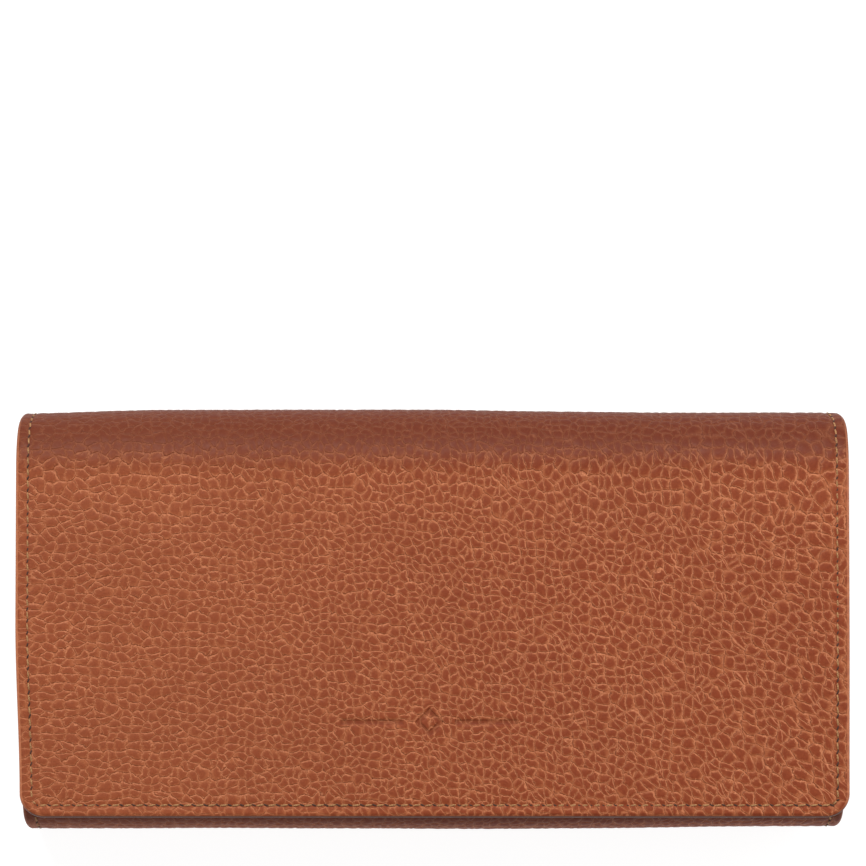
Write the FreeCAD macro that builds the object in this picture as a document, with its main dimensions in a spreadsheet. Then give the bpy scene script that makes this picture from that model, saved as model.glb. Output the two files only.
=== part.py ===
import FreeCAD, Part
import os
import re
import Sketcher

# A long wallet with a wrap-over flap, lying on its back.
# X runs along the wallet's length, Y from the bottom fold up to the top fold, and Z is its thickness.
# The origin is under the middle of the wallet, on the surface that it lies on.
# The back, the top fold and the flap are one wrap of leather, and so are the back, the bottom
# fold and the front wall.  Each fold is cut into strips that hinge on the leather's outer face.

Vector = FreeCAD.Vector
Rotation = FreeCAD.Rotation

# ---------------------------------------------------------------- driving dimensions, in mm

SIZES = {
    "wallet_height": "97",
    "flap_width": "190",
    "body_width": "188.6",
    "flap_overlap": "93.4",
    "flap_corner": "5.5",
    "panel_corner": "3",
    "outer_leather": "1.2",
    "board": "0.5",
    "lining": "0.5",
    "board_inset": "4",
    "lining_inset": "0.3",
    "card_rows": "4",
    "card_strip": "0.6",
    "card_width": "173",
    "card_foot": "1.5",
    "card_step": "12",
    "card_top": "30",
    "note_gap": "4.4",
    "coin_leather": "0.9",
    "coin_lining": "0.3",
    "coin_space": "4.6",
    "coin_width": "187",
    "coin_floor": "-41.5",
    "coin_top": "18",
    "welt": "1.8",
    "snap_gap": "2.3",
    "front_top": "28",
    "fold_step": "45",
    "fold_slit": "0.4",
    "seam_inset": "2.8",
    "seam_wide": "0.6",
    "seam_deep": "0.3",
    "seam_sunk": "0.05",
    "snap_level": "-27",
    "cap_radius": "5",
    "socket_radius": "5.2",
    "socket_depth": "1.6",
    "socket_bore": "2.35",
    "socket_floor": "0.35",
    "socket_bevel": "0.6",
    "socket_wall": "0.9",
    "groove_start": "0.7",
    "groove_end": "1.2",
    "groove_depth": "0.5",
    "spring_wire": "0.18",
    "spring_level": "1",
    "spring_reach": "0.3",
    "stud_base": "4.4",
    "stud_bevel": "0.4",
    "stud_neck": "1.3",
    "neck_swell": "0.2",
    "neck_start": "0.5",
    "neck_end": "1",
    "stud_head": "1.95",
    "head_start": "1.3",
    "head_bevel": "0.5",
    "stud_rise": "1.7",
    "washer_radius": "4",
    "zip_half": "68",
    "zip_rise": "2.2",
    "tape": "0.5",
    "tape_leg": "0.4",
    "tape_inset": "4",
    "tooth_pitch": "2",
    "tooth_long": "1.2",
    "tooth_wide": "1.85",
    "tooth_tall": "1.6",
    "teeth_apart": "0.7",
    "stop_long": "1.5",
    "stop_gap": "0.3",
    "slider_long": "8",
    "slider_wide": "5.8",
    "slider_plate": "0.8",
    "slider_play": "0.15",
    "lip_play": "0.2",
    "post_half": "0.2",
    "post_start": "1",
    "post_end": "3",
    "slider_start": "62",
    "bail_long": "3.4",
    "bail_wide": "1.4",
    "pin_radius": "0.6",
    "pin_play": "0.05",
    "pin_rise": "1.25",
    "link_long": "7",
    "link_wide": "4.6",
    "link_wire": "1.2",
    "tab_long": "12.5",
    "tab_wide": "5.4",
    "tab_thick": "1.8",
    "gusset_thick": "0.5",
    "gusset_edge": "93.2",
    "gusset_depth": "10.2",
    "gusset_play": "0.05",
    "gusset_lean": "2.2",
    "gusset_inner": "1.2",
    "gusset_top": "26",
}

# Lengths worked out from the driving dimensions.
PANEL = "(outer_leather + board + lining)"
CARDS = "(card_rows * card_strip)"
COIN = "(2 * coin_leather + 2 * coin_lining + coin_space)"
COIN_REAR = f"({PANEL} + {CARDS} + note_gap)"
COIN_FRONT = f"({COIN_REAR} + {COIN})"
COIN_MIDDLE = f"({COIN_REAR} + {COIN} / 2)"
BODY_DEPTH = f"({COIN_FRONT} + note_gap + {PANEL})"
FLAP_UNDER = f"({BODY_DEPTH} + snap_gap)"
WALLET_DEPTH = f"({FLAP_UNDER} + {PANEL})"
TOP_RADIUS = f"({WALLET_DEPTH} / 2)"
TOP_CENTRE = f"(wallet_height / 2 - {TOP_RADIUS})"
BOTTOM_RADIUS = f"({BODY_DEPTH} / 2)"
BOTTOM_CENTRE = f"({BOTTOM_RADIUS} - wallet_height / 2)"
FLAP_BOTTOM = "(wallet_height / 2 - flap_overlap)"
ZIP_LEVEL = "(coin_top + zip_rise)"
PIN_LEVEL = f"({ZIP_LEVEL} + tooth_tall / 2 + slider_play + slider_plate + pin_rise)"
# Depths of the three layers of a panel below its outer face.
LAYERS = {
    "leather": ("0", "outer_leather"),
    "board": ("outer_leather", "board"),
    "lining": ("(outer_leather + board)", "lining"),
}

doc = FreeCAD.newDocument("LongWallet")
sheet = doc.addObject("Spreadsheet::Sheet", "Sizes")
for row, (alias, size) in enumerate(SIZES.items(), start=1):
    sheet.set(f"A{row}", alias)
    sheet.set(f"B{row}", size)
    sheet.setAlias(f"B{row}", alias)
doc.recompute()

NODES = []


def formula(text):
    """The expression with every driving dimension's name pointing into the sheet."""
    def cell(word):
        return f"Sizes.{word.group()}" if word.group() in SIZES else word.group()
    return re.sub(r"[a-z_]+", cell, text)


def number(text):
    """The value of an expression, in mm or degrees."""
    return float(sheet.evalExpression(formula(text)))


def bind(item, **texts):
    """Binds properties of an object to expressions."""
    for name, text in texts.items():
        item.setExpression(name, formula(text))


def put(item, x="0", y="0", z="0"):
    """Binds where an object stands."""
    for axis, text in zip("xyz", (x, y, z)):
        item.setExpression(f".Placement.Base.{axis}", formula(text))


def node(item, label):
    """Names an object as a sub-part to be written out."""
    item.Label = label
    NODES.append(item)
    return item


# ---------------------------------------------------------------- Part primitives and booleans

def slab(name, low, high):
    """A box between two corners, each three expressions."""
    box = doc.addObject("Part::Box", name)
    for side, start, end in zip(("Length", "Width", "Height"), low, high):
        bind(box, **{side: f"({end}) - ({start})"})
    put(box, *low)
    return box


def bend(name, centre_y, centre_z, radius, thick, start, sweep, length, middle="0"):
    """A strip of a fold: a slice of tube along X, from start degrees past straight down (-Z)
    and turning towards +Y."""
    solids = []
    for part, size in (("outer", radius), ("inner", f"{radius} - {thick}")):
        tube = doc.addObject("Part::Cylinder", f"{name}_{part}")
        turn = Rotation(Vector(0, 0, 1), number(start))
        tube.Placement.Rotation = Rotation(Vector(0, 1, 0), 90).multiply(turn)
        bind(tube, Radius=size, Height=length)
        put(tube, f"{middle} - ({length}) / 2", centre_y, centre_z)
        solids.append(tube)
    bind(solids[0], Angle=sweep)
    return subtract(f"{name}_strip", *solids)


def join(name, *pieces):
    """One object out of several."""
    fused = doc.addObject("Part::MultiFuse", name)
    fused.Shapes = list(pieces)
    fused.Refine = True
    return fused


def subtract(name, base, tool):
    """The base with the tool's room cut out of it."""
    cut = doc.addObject("Part::Cut", name)
    cut.Base = base
    cut.Tool = tool
    cut.Refine = True
    return cut


# ---------------------------------------------------------------- PartDesign bodies

def origin_plane(body, role):
    """One of a body's own origin planes."""
    return next(item for item in body.Origin.OriginFeatures if item.Role == role)


def new_sketch(body, name, role):
    """A sketch on one of the body's own origin planes."""
    sketch = body.newObject("Sketcher::SketchObject", name)
    sketch.AttachmentSupport = [(origin_plane(body, role), "")]
    sketch.MapMode = "FlatFace"
    return sketch


def outline(body, name, role, corners):
    """A closed outline whose corners are pairs of expressions."""
    sketch = new_sketch(body, name, role)
    spots = [Vector(number(across), number(up), 0) for across, up in corners]
    count = len(spots)
    for index, spot in enumerate(spots):
        sketch.addGeometry(Part.LineSegment(spot, spots[(index + 1) % count]))
    for index in range(count):
        following = (index + 1) % count
        sketch.addConstraint(Sketcher.Constraint("Coincident", index, 2, following, 1))
    for index, corner in enumerate(corners):
        for kind, text in zip(("DistanceX", "DistanceY"), corner):
            rule = Sketcher.Constraint(kind, -1, 1, index, 1, number(text))
            place = sketch.addConstraint(rule)
            sketch.setExpression(f"Constraints[{place}]", formula(text))
    return sketch


def pad(body, sketch, length, symmetric=False, backwards=False):
    """Pads a sketch by a bound length."""
    feature = body.newObject("PartDesign::Pad", f"{body.Name}_pad")
    feature.Profile = sketch
    feature.SideType = "Symmetric" if symmetric else "One side"
    feature.Reversed = backwards
    bind(feature, Length=length)
    doc.recompute()
    return feature


def round_corners(body, base, radius, wanted):
    """Rounds the straight edges whose middle passes a test."""
    names = []
    for index, edge in enumerate(base.Shape.Edges, start=1):
        if wanted(edge, edge.CenterOfMass):
            names.append(f"Edge{index}")
    rounded = body.newObject("PartDesign::Fillet", f"{body.Name}_round")
    rounded.Base = (base, names)
    bind(rounded, Radius=radius)
    doc.recompute()
    return rounded


def pierce(body, radius, level):
    """A round hole through a panel, on its centre line."""
    before = body.Shape.Volume
    sketch = new_sketch(body, f"{body.Name}_hole_outline", "XY_Plane")
    sketch.addGeometry(Part.Circle(Vector(0, number(level), 0), Vector(0, 0, 1), number(radius)))
    sketch.addConstraint(Sketcher.Constraint("PointOnObject", 0, 3, -2))
    across = sketch.addConstraint(Sketcher.Constraint("Radius", 0, number(radius)))
    sketch.setExpression(f"Constraints[{across}]", formula(radius))
    up = sketch.addConstraint(Sketcher.Constraint("DistanceY", -1, 1, 0, 3, number(level)))
    sketch.setExpression(f"Constraints[{up}]", formula(level))
    hole = body.newObject("PartDesign::Pocket", f"{body.Name}_hole")
    hole.Profile = sketch
    hole.Type = "ThroughAll"
    hole.SideType = "Symmetric"
    doc.recompute()
    if body.Shape.Volume >= before:
        raise RuntimeError(f"{body.Name}: the hole cuts nothing")


def panel(name, width, low, top, under, thick, corner="", at_top=False, hole=""):
    """A flat piece of sheet, its two lower or upper corners rounded, standing at height under."""
    body = doc.addObject("PartDesign::Body", name)
    corners = [
        (f"-({width}) / 2", low),
        (f"({width}) / 2", low),
        (f"({width}) / 2", top),
        (f"-({width}) / 2", top),
    ]
    flat = pad(body, outline(body, f"{name}_outline", "XY_Plane", corners), thick)
    if corner:
        level = number(top if at_top else low)

        def upright(edge, middle):
            return abs(edge.tangentAt(0).z) > 0.9 and abs(middle.y - level) < 0.01

        round_corners(body, flat, corner, upright)
    if hole:
        pierce(body, hole, "snap_level")
    put(body, z=under)
    return body


def strip_along(name, corners, length):
    """A straight strip along X, from its outline across the wallet."""
    body = doc.addObject("PartDesign::Body", name)
    pad(body, outline(body, f"{name}_outline", "YZ_Plane", corners), length, symmetric=True)
    return body


def turned(name, corners):
    """A round piece, from its half outline on the XZ plane."""
    body = doc.addObject("PartDesign::Body", name)
    sketch = outline(body, f"{name}_outline", "XZ_Plane", corners)
    feature = body.newObject("PartDesign::Revolution", f"{name}_turn")
    feature.Profile = sketch
    feature.ReferenceAxis = (sketch, ["V_Axis"])
    feature.Angle = 360
    doc.recompute()
    return body


# ---------------------------------------------------------------- wraps: folds and panels

def top_bend(name, layer, start, sweep, width):
    """One layer of a strip of the top fold, start degrees round from the back."""
    depth, thick = LAYERS[layer]
    return bend(name, TOP_CENTRE, TOP_RADIUS, f"({TOP_RADIUS} - {depth})", thick, start, sweep, width)


def bottom_bend(name, layer, start, sweep, width):
    """One layer of a strip of the bottom fold, start degrees round from the back."""
    depth, thick = LAYERS[layer]
    radius = f"({BOTTOM_RADIUS} - {depth})"
    first = f"-({start}) - ({sweep})"
    return bend(name, BOTTOM_CENTRE, BOTTOM_RADIUS, radius, thick, first, sweep, width)


def seam_bends(name, centre_y, centre_z, radius, start, sweep, width):
    """The two threads that cross a strip of a fold, one near each end."""
    bends = []
    for side, sign in (("left", "-"), ("right", "")):
        middle = f"{sign}(({width}) / 2 - seam_inset)"
        sunk = f"({radius} - seam_sunk)"
        bends.append(bend(f"{name}_{side}", centre_y, centre_z, sunk, "seam_deep",
                          start, sweep, "seam_wide", middle))
    return bends


def seam_bars(name, width, low, top, low_z, high_z):
    """The two straight threads up the sides of a panel."""
    bars = []
    for side, sign in (("left", -1), ("right", 1)):
        outer = f"({sign} * (({width}) / 2 - seam_inset) + seam_wide / 2)"
        inner = f"({outer} - seam_wide)"
        bars.append(slab(f"{name}_{side}", (inner, low, low_z), (outer, top, high_z)))
    return bars


HALF_STEP = "(fold_step / 2)"
HALF_SLIT = "(fold_slit / 2)"
# How much narrower than the wallet each layer is.
WIDE = {"leather": "0", "board": "2 * board_inset", "lining": "2 * lining_inset"}


def make_back():
    """The back panel, with the start of the top fold and of the bottom fold."""
    pieces = {}
    for layer, (depth, thick) in LAYERS.items():
        width = f"(body_width - {WIDE[layer]})"
        name = f"back_{layer}"
        flat = panel(f"{name}_flat", width, BOTTOM_CENTRE, TOP_CENTRE, depth, thick)
        top = top_bend(f"{name}_top", layer, "0", f"{HALF_STEP} - {HALF_SLIT}", width)
        low = bottom_bend(f"{name}_low", layer, "0", f"fold_step - {HALF_SLIT}", width)
        pieces[layer] = join(f"{name}_whole", flat, top, low)
    bars = seam_bars("back_bar", "body_width", BOTTOM_CENTRE, TOP_CENTRE,
                     "seam_sunk", "seam_sunk + seam_deep")
    upper = seam_bends("back_upper", TOP_CENTRE, TOP_RADIUS, TOP_RADIUS,
                       "0", f"{HALF_STEP} - {HALF_SLIT}", "body_width")
    lower = seam_bends("back_lower", BOTTOM_CENTRE, BOTTOM_RADIUS, BOTTOM_RADIUS,
                       f"{HALF_SLIT} - fold_step", f"fold_step - {HALF_SLIT}", "body_width")
    thread = node(join("back_seam", *bars, *upper, *lower), "back_thread")
    node(subtract("back_groove", pieces["leather"], thread), "back_leather")
    node(pieces["board"], "back_board")
    node(pieces["lining"], "back_lining")


def make_card_pockets():
    """Stepped card pockets on the back's lining, the rearmost one highest."""
    rows = int(number("card_rows"))
    for row in range(rows):
        under = f"({PANEL} + {row} * card_strip)"
        top = f"(card_top - {row} * card_step)"
        name = f"card_pocket_{row + 1}"
        pocket = panel(f"{name}_sheet", "card_width", f"{BOTTOM_CENTRE} + card_foot", top, under,
                       "card_strip", corner="panel_corner", at_top=True)
        node(pocket, name)


def make_top_fold():
    """Three strips of the top fold, each with its padding, lining and threads."""
    for strip in range(1, 4):
        start = f"({HALF_STEP} + {strip - 1} * fold_step + {HALF_SLIT})"
        sweep = "(fold_step - fold_slit)"
        strips = {}
        for layer, word in (("leather", "leather"), ("board", "padding"), ("lining", "lining")):
            width = f"(flap_width - {WIDE[layer]})"
            strips[layer] = top_bend(f"spine_{word}_{strip}_cut", layer, start, sweep, width)
        bends = seam_bends(f"spine_seam_{strip}", TOP_CENTRE, TOP_RADIUS, TOP_RADIUS,
                           start, sweep, "flap_width")
        thread = node(join(f"spine_seams_{strip}", *bends), f"spine_thread_{strip}")
        groove = subtract(f"spine_groove_{strip}", strips["leather"], thread)
        node(groove, f"spine_leather_{strip}")
        node(strips["board"], f"spine_padding_{strip}")
        node(strips["lining"], f"spine_lining_{strip}")


def make_flap():
    """The flap, with the end of the top fold."""
    start = f"(180 - {HALF_STEP} + {HALF_SLIT})"
    sweep = f"({HALF_STEP} - {HALF_SLIT})"
    holes = {"leather": "", "board": "cap_radius", "lining": "stud_neck"}
    corners = {"leather": "flap_corner", "board": "panel_corner", "lining": "flap_corner - lining_inset"}
    pieces = {}
    for layer, (depth, thick) in LAYERS.items():
        width = f"(flap_width - {WIDE[layer]})"
        low = f"({FLAP_BOTTOM} + ({WIDE[layer]}) / 2)"
        under = f"({WALLET_DEPTH} - {depth} - {thick})"
        name = f"flap_{layer}"
        flat = panel(f"{name}_flat", width, low, TOP_CENTRE, under, thick,
                     corner=corners[layer], hole=holes[layer])
        top = top_bend(f"{name}_top", layer, start, sweep, width)
        pieces[layer] = join(f"{name}_whole", flat, top)
    high = f"({WALLET_DEPTH} - seam_sunk)"
    deep = f"({high} - seam_deep)"
    low = f"({FLAP_BOTTOM} + seam_inset - seam_wide / 2)"
    bars = seam_bars("flap_bar", "flap_width", low, TOP_CENTRE, deep, high)
    side = "(flap_width / 2 - seam_inset + seam_wide / 2)"
    hem = slab("flap_hem", (f"-{side}", low, deep), (side, f"{low} + seam_wide", high))
    bends = seam_bends("flap_upper", TOP_CENTRE, TOP_RADIUS, TOP_RADIUS, start, sweep, "flap_width")
    thread = node(join("flap_seam", *bars, hem, *bends), "flap_thread")
    node(subtract("flap_groove", pieces["leather"], thread), "flap_leather")
    node(pieces["board"], "flap_board")
    node(pieces["lining"], "flap_lining")


def make_front_wall():
    """The front wall, with the end of the bottom fold."""
    start = f"(180 - fold_step + {HALF_SLIT})"
    sweep = f"(fold_step - {HALF_SLIT})"
    holes = {"leather": "stud_neck", "board": "washer_radius", "lining": ""}
    pieces = {}
    for layer, (depth, thick) in LAYERS.items():
        width = f"(body_width - {WIDE[layer]})"
        top = f"(front_top - ({WIDE[layer]}) / 2)"
        under = f"({BODY_DEPTH} - {depth} - {thick})"
        name = f"front_{layer}"
        flat = panel(f"{name}_flat", width, BOTTOM_CENTRE, top, under, thick,
                     corner="panel_corner", at_top=True, hole=holes[layer])
        low = bottom_bend(f"{name}_low", layer, start, sweep, width)
        pieces[layer] = join(f"{name}_whole", flat, low)
    high = f"({BODY_DEPTH} - seam_sunk)"
    deep = f"({high} - seam_deep)"
    top = "(front_top - seam_inset + seam_wide / 2)"
    bars = seam_bars("front_bar", "body_width", BOTTOM_CENTRE, top, deep, high)
    side = "(body_width / 2 - seam_inset + seam_wide / 2)"
    hem = slab("front_hem", (f"-{side}", f"{top} - seam_wide", deep), (side, top, high))
    bends = seam_bends("front_lower", BOTTOM_CENTRE, BOTTOM_RADIUS, BOTTOM_RADIUS,
                       "-180", sweep, "body_width")
    thread = node(join("front_seam", *bars, hem, *bends), "front_thread")
    node(subtract("front_groove", pieces["leather"], thread), "front_leather")
    node(pieces["board"], "front_board")
    node(pieces["lining"], "front_lining")


def make_bottom_fold():
    """The middle strip of the bottom fold."""
    start = f"(fold_step + {HALF_SLIT})"
    sweep = "(2 * fold_step - fold_slit)"
    strips = {}
    for layer, word in (("leather", "leather"), ("board", "padding"), ("lining", "lining")):
        width = f"(body_width - {WIDE[layer]})"
        strips[layer] = bottom_bend(f"bottom_{word}_cut", layer, start, sweep, width)
    bends = seam_bends("bottom_seam", BOTTOM_CENTRE, BOTTOM_RADIUS, BOTTOM_RADIUS,
                       f"(-{start} - {sweep})", sweep, "body_width")
    thread = node(join("bottom_seams", *bends), "bottom_thread")
    node(subtract("bottom_groove", strips["leather"], thread), "bottom_leather")
    node(strips["board"], "bottom_padding")
    node(strips["lining"], "bottom_lining")


# ---------------------------------------------------------------- coin pocket and zip

def make_coin_pocket():
    """The zipped coin pocket that stands between the two note compartments."""
    half = "(coin_width / 2)"
    levels = [
        ("coin_rear_wall", COIN_REAR, "coin_leather"),
        ("coin_rear_lining", f"({COIN_REAR} + coin_leather)", "coin_lining"),
        ("coin_front_lining", f"({COIN_FRONT} - coin_leather - coin_lining)", "coin_lining"),
        ("coin_front_wall", f"({COIN_FRONT} - coin_leather)", "coin_leather"),
    ]
    for name, under, thick in levels:
        sheet_piece = panel(f"{name}_sheet", "coin_width", "coin_floor", "coin_top", under, thick)
        node(sheet_piece, name)
    # The floor is the bundle of turned edges that the walls stand on, in the curve of the fold.
    inside = doc.addObject("Part::Cylinder", "coin_base_round")
    inside.Placement.Rotation = Rotation(Vector(0, 1, 0), 90)
    bind(inside, Radius=f"({BOTTOM_RADIUS} - {PANEL})", Height="coin_width")
    put(inside, f"-{half}", BOTTOM_CENTRE, BOTTOM_RADIUS)
    block = slab("coin_base_block", (f"-{half}", "-wallet_height / 2", COIN_REAR),
                 (half, "coin_floor", COIN_FRONT))
    base = doc.addObject("Part::Common", "coin_base_cut")
    base.Base = block
    base.Tool = inside
    node(base, "coin_base")
    low_z = f"({COIN_REAR} + coin_leather + coin_lining)"
    high_z = f"({COIN_FRONT} - coin_leather - coin_lining)"
    for side, start, end in (("left", f"-{half}", f"(-{half} + welt)"),
                             ("right", f"({half} - welt)", half)):
        welt = slab(f"coin_welt_{side}_bar", (start, "coin_floor", low_z), (end, "coin_top", high_z))
        node(welt, f"coin_welt_{side}")


def make_zip():
    """Two tapes with a row of teeth each, and the stops at their ends."""
    half = f"({COIN} / 2)"
    tooth_inner = "(teeth_apart / 2)"
    tooth_outer = f"({tooth_inner} + tooth_wide)"
    leg_inner = f"({half} - tape_leg)"
    for side, sign in (("rear", "-"), ("front", "")):
        def level(text):
            return f"({COIN_MIDDLE} + {sign}1 * ({text}))"
        corners = [
            (f"({ZIP_LEVEL} - tape / 2)", level(tooth_outer)),
            (f"({ZIP_LEVEL} + tape / 2)", level(tooth_outer)),
            (f"({ZIP_LEVEL} + tape / 2)", level(half)),
            ("coin_top", level(half)),
            ("coin_top", level(leg_inner)),
            (f"({ZIP_LEVEL} - tape / 2)", level(leg_inner)),
        ]
        tape = strip_along(f"zip_tape_{side}_strip", corners, "coin_width - 2 * tape_inset")
        node(tape, f"zip_tape_{side}")
        shift = "0" if side == "rear" else "tooth_pitch / 2"
        row = doc.addObject("PartDesign::Body", f"zip_row_{side}")
        row.AllowCompound = True
        start = f"(-zip_half + {shift})"
        tooth = outline(row, f"tooth_{side}", "XY_Plane", [
            (start, f"({ZIP_LEVEL} - tooth_tall / 2)"),
            (f"{start} + tooth_long", f"({ZIP_LEVEL} - tooth_tall / 2)"),
            (f"{start} + tooth_long", f"({ZIP_LEVEL} + tooth_tall / 2)"),
            (start, f"({ZIP_LEVEL} + tooth_tall / 2)"),
        ])
        first = pad(row, tooth, "tooth_wide")
        pattern = row.newObject("PartDesign::LinearPattern", f"teeth_{side}")
        pattern.Originals = [first]
        pattern.Direction = (tooth, ["H_Axis"])
        bind(pattern, Length="2 * zip_half - 2 * tooth_pitch",
             Occurrences="2 * zip_half / tooth_pitch - 1")
        row.Tip = pattern
        bottom = tooth_inner if sign == "" else tooth_outer
        put(row, z=f"{COIN_MIDDLE} + {sign}1 * ({bottom})")
        node(row, f"zip_teeth_{side}")
    low = f"({ZIP_LEVEL} - tooth_tall / 2)"
    high = f"({ZIP_LEVEL} + tooth_tall / 2)"
    top_stop = "(zip_half + stop_gap)"
    spans = [
        ("rear", top_stop, f"({COIN_MIDDLE} - {tooth_outer})", f"({COIN_MIDDLE} - {tooth_inner})"),
        ("front", top_stop, f"({COIN_MIDDLE} + {tooth_inner})", f"({COIN_MIDDLE} + {tooth_outer})"),
        ("end", "(-zip_half - stop_gap - stop_long)",
         f"({COIN_MIDDLE} - {tooth_outer})", f"({COIN_MIDDLE} + {tooth_outer})"),
    ]
    stops = []
    for word, start, low_z, high_z in spans:
        end = f"{start} + stop_long"
        stops.append(slab(f"zip_stop_{word}", (start, low, low_z), (end, high, high_z)))
    node(join("zip_stop_set", *stops), "zip_stops")


def make_slider():
    """The slider's two plates, their side flanges, the post between them and the bail on top."""
    start = "(slider_start - slider_long / 2)"
    end = "(slider_start + slider_long / 2)"
    half = "(slider_wide / 2)"
    inner = "(teeth_apart / 2 + tooth_wide + slider_play)"
    plate = "(tooth_tall / 2 + slider_play)"
    lip = "(tape / 2 + lip_play)"

    def box(name, low_y, high_y, low_z, high_z, low_x=start, high_x=end):
        low = (low_x, f"{ZIP_LEVEL} + ({low_y})", f"{COIN_MIDDLE} + ({low_z})")
        high = (high_x, f"{ZIP_LEVEL} + ({high_y})", f"{COIN_MIDDLE} + ({high_z})")
        return slab(f"slider_{name}", low, high)

    pieces = [
        box("upper", plate, f"{plate} + slider_plate", f"-{half}", half),
        box("lower", f"-{plate} - slider_plate", f"-{plate}", f"-{half}", half),
        box("post", f"-{plate} - slider_plate", f"{plate} + slider_plate",
            "-post_half", "post_half", "slider_start + post_start", "slider_start + post_end"),
    ]
    for word, low_z, high_z in (("rear", f"-{half}", f"-{inner}"), ("front", inner, half)):
        pieces.append(box(f"upper_{word}", lip, f"{plate} + slider_plate", low_z, high_z))
        pieces.append(box(f"lower_{word}", f"-{plate} - slider_plate", f"-{lip}", low_z, high_z))
    top = f"({plate} + slider_plate)"
    pieces.append(box("bail", top, f"{top} + pin_rise + bail_long / 2",
                      "-bail_wide / 2", "bail_wide / 2",
                      "slider_start - bail_long / 2", "slider_start + bail_long / 2"))
    eye = doc.addObject("Part::Cylinder", "slider_eye")
    bind(eye, Radius="pin_radius + pin_play", Height="slider_wide")
    put(eye, "slider_start", PIN_LEVEL, f"{COIN_MIDDLE} - slider_wide / 2")
    node(subtract("slider_body", join("slider_blank", *pieces), eye), "zip_slider")


def make_puller():
    """The puller: a wire link through the bail, and a leather tab on the link's far bar."""
    pin = doc.addObject("Part::Cylinder", "link_pin")
    bind(pin, Radius="pin_radius", Height="link_wide")
    put(pin, "slider_start", PIN_LEVEL, f"{COIN_MIDDLE} - link_wide / 2")
    low_y = f"({PIN_LEVEL} - link_wire / 2)"
    high_y = f"({PIN_LEVEL} + link_wire / 2)"
    far = "(slider_start - link_long)"
    pieces = [pin]
    for word, sign in (("rear", "-"), ("front", "")):
        edges = [f"({COIN_MIDDLE} + {sign}1 * link_wide / 2)",
                 f"({COIN_MIDDLE} + {sign}1 * (link_wide / 2 - link_wire))"]
        edges.sort(key=number)
        low = (far, low_y, edges[0])
        high = ("slider_start + link_wire / 2", high_y, edges[1])
        pieces.append(slab(f"link_arm_{word}", low, high))
    pieces.append(slab("link_bar", (far, low_y, f"{COIN_MIDDLE} - link_wide / 2"),
                       (f"{far} + link_wire", high_y, f"{COIN_MIDDLE} + link_wide / 2")))
    node(join("link_whole", *pieces), "puller_link")
    low = (f"{far} - tab_long", f"{PIN_LEVEL} - tab_thick / 2", f"{COIN_MIDDLE} - tab_wide / 2")
    high = (far, f"{PIN_LEVEL} + tab_thick / 2", f"{COIN_MIDDLE} + tab_wide / 2")
    node(slab("tab_strip", low, high), "puller_tab")


# ---------------------------------------------------------------- snap and gussets

def make_snap():
    """The hidden cap, socket and spring on the flap, and the stud and washer on the front wall."""
    cap = turned("snap_cap_disc", [
        ("0", "0"),
        ("stud_neck", "0"),
        ("stud_neck", "lining"),
        ("cap_radius", "lining"),
        ("cap_radius", "lining + board"),
        ("0", "lining + board"),
    ])
    put(cap, y="snap_level", z=FLAP_UNDER)
    node(cap, "snap_cap")
    socket = turned("snap_socket_ring", [
        ("0", "-socket_floor"),
        ("socket_bore", "-socket_floor"),
        ("socket_bore", "-groove_start"),
        ("socket_bore + groove_depth", "-groove_start"),
        ("socket_bore + groove_depth", "-groove_end"),
        ("socket_bore", "-groove_end"),
        ("socket_bore", "-socket_depth"),
        ("socket_radius - socket_bevel", "-socket_depth"),
        ("socket_radius", "-socket_wall"),
        ("socket_radius", "0"),
        ("0", "0"),
    ])
    put(socket, y="snap_level", z=FLAP_UNDER)
    node(socket, "snap_socket")
    spring = doc.addObject("Part::Torus", "snap_spring_wire")
    bind(spring, Radius1="socket_bore + spring_reach", Radius2="spring_wire")
    spring.Angle3 = 320
    put(spring, y="snap_level", z=f"{FLAP_UNDER} - spring_level")
    node(spring, "snap_spring")
    stud = turned("snap_stud_post", [
        ("0", "-outer_leather - board"),
        ("stud_neck", "-outer_leather - board"),
        ("stud_neck", "0"),
        ("stud_base", "0"),
        ("stud_base - stud_bevel", "stud_bevel"),
        ("stud_neck + neck_swell", "neck_start"),
        ("stud_neck + neck_swell", "neck_end"),
        ("stud_head", "head_start"),
        ("stud_head - head_bevel", "stud_rise"),
        ("0", "stud_rise"),
    ])
    put(stud, y="snap_level", z=BODY_DEPTH)
    node(stud, "snap_stud")
    washer = turned("snap_washer_ring", [
        ("stud_neck", "0"),
        ("washer_radius", "0"),
        ("washer_radius", "board"),
        ("stud_neck", "board"),
    ])
    put(washer, y="snap_level", z=f"{BODY_DEPTH} - outer_leather - board")
    node(washer, "snap_washer")


def make_gussets():
    """V-folded side gussets: one pair behind the coin pocket and one pair in front of it."""
    spans = {
        "rear": (f"({PANEL} + gusset_play)", f"({COIN_REAR} - gusset_play)",
                 f"({COIN_REAR} - gusset_lean)"),
        "front": (f"({COIN_FRONT} + gusset_play)", f"({BODY_DEPTH} - {PANEL} - gusset_play)",
                  f"({COIN_FRONT} + note_gap / 2)"),
    }
    for place, (low, high, tip) in spans.items():
        for side, sign in (("left", -1), ("right", 1)):
            edge = f"({sign} * gusset_edge)"
            valley = f"({sign} * (gusset_edge - gusset_depth))"
            inner = f"({sign} * (gusset_edge - gusset_depth + gusset_inner))"
            corners = [
                (edge, low),
                (edge, f"({low} + gusset_thick)"),
                (inner, tip),
                (edge, f"({high} - gusset_thick)"),
                (edge, high),
                (valley, tip),
            ]
            name = f"gusset_{place}_{side}"
            body = doc.addObject("PartDesign::Body", f"{name}_fold")
            sketch = outline(body, f"{name}_outline", "XZ_Plane", corners)
            pad(body, sketch, f"gusset_top - ({BOTTOM_CENTRE})")
            put(body, y="gusset_top")
            node(body, name)


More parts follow.
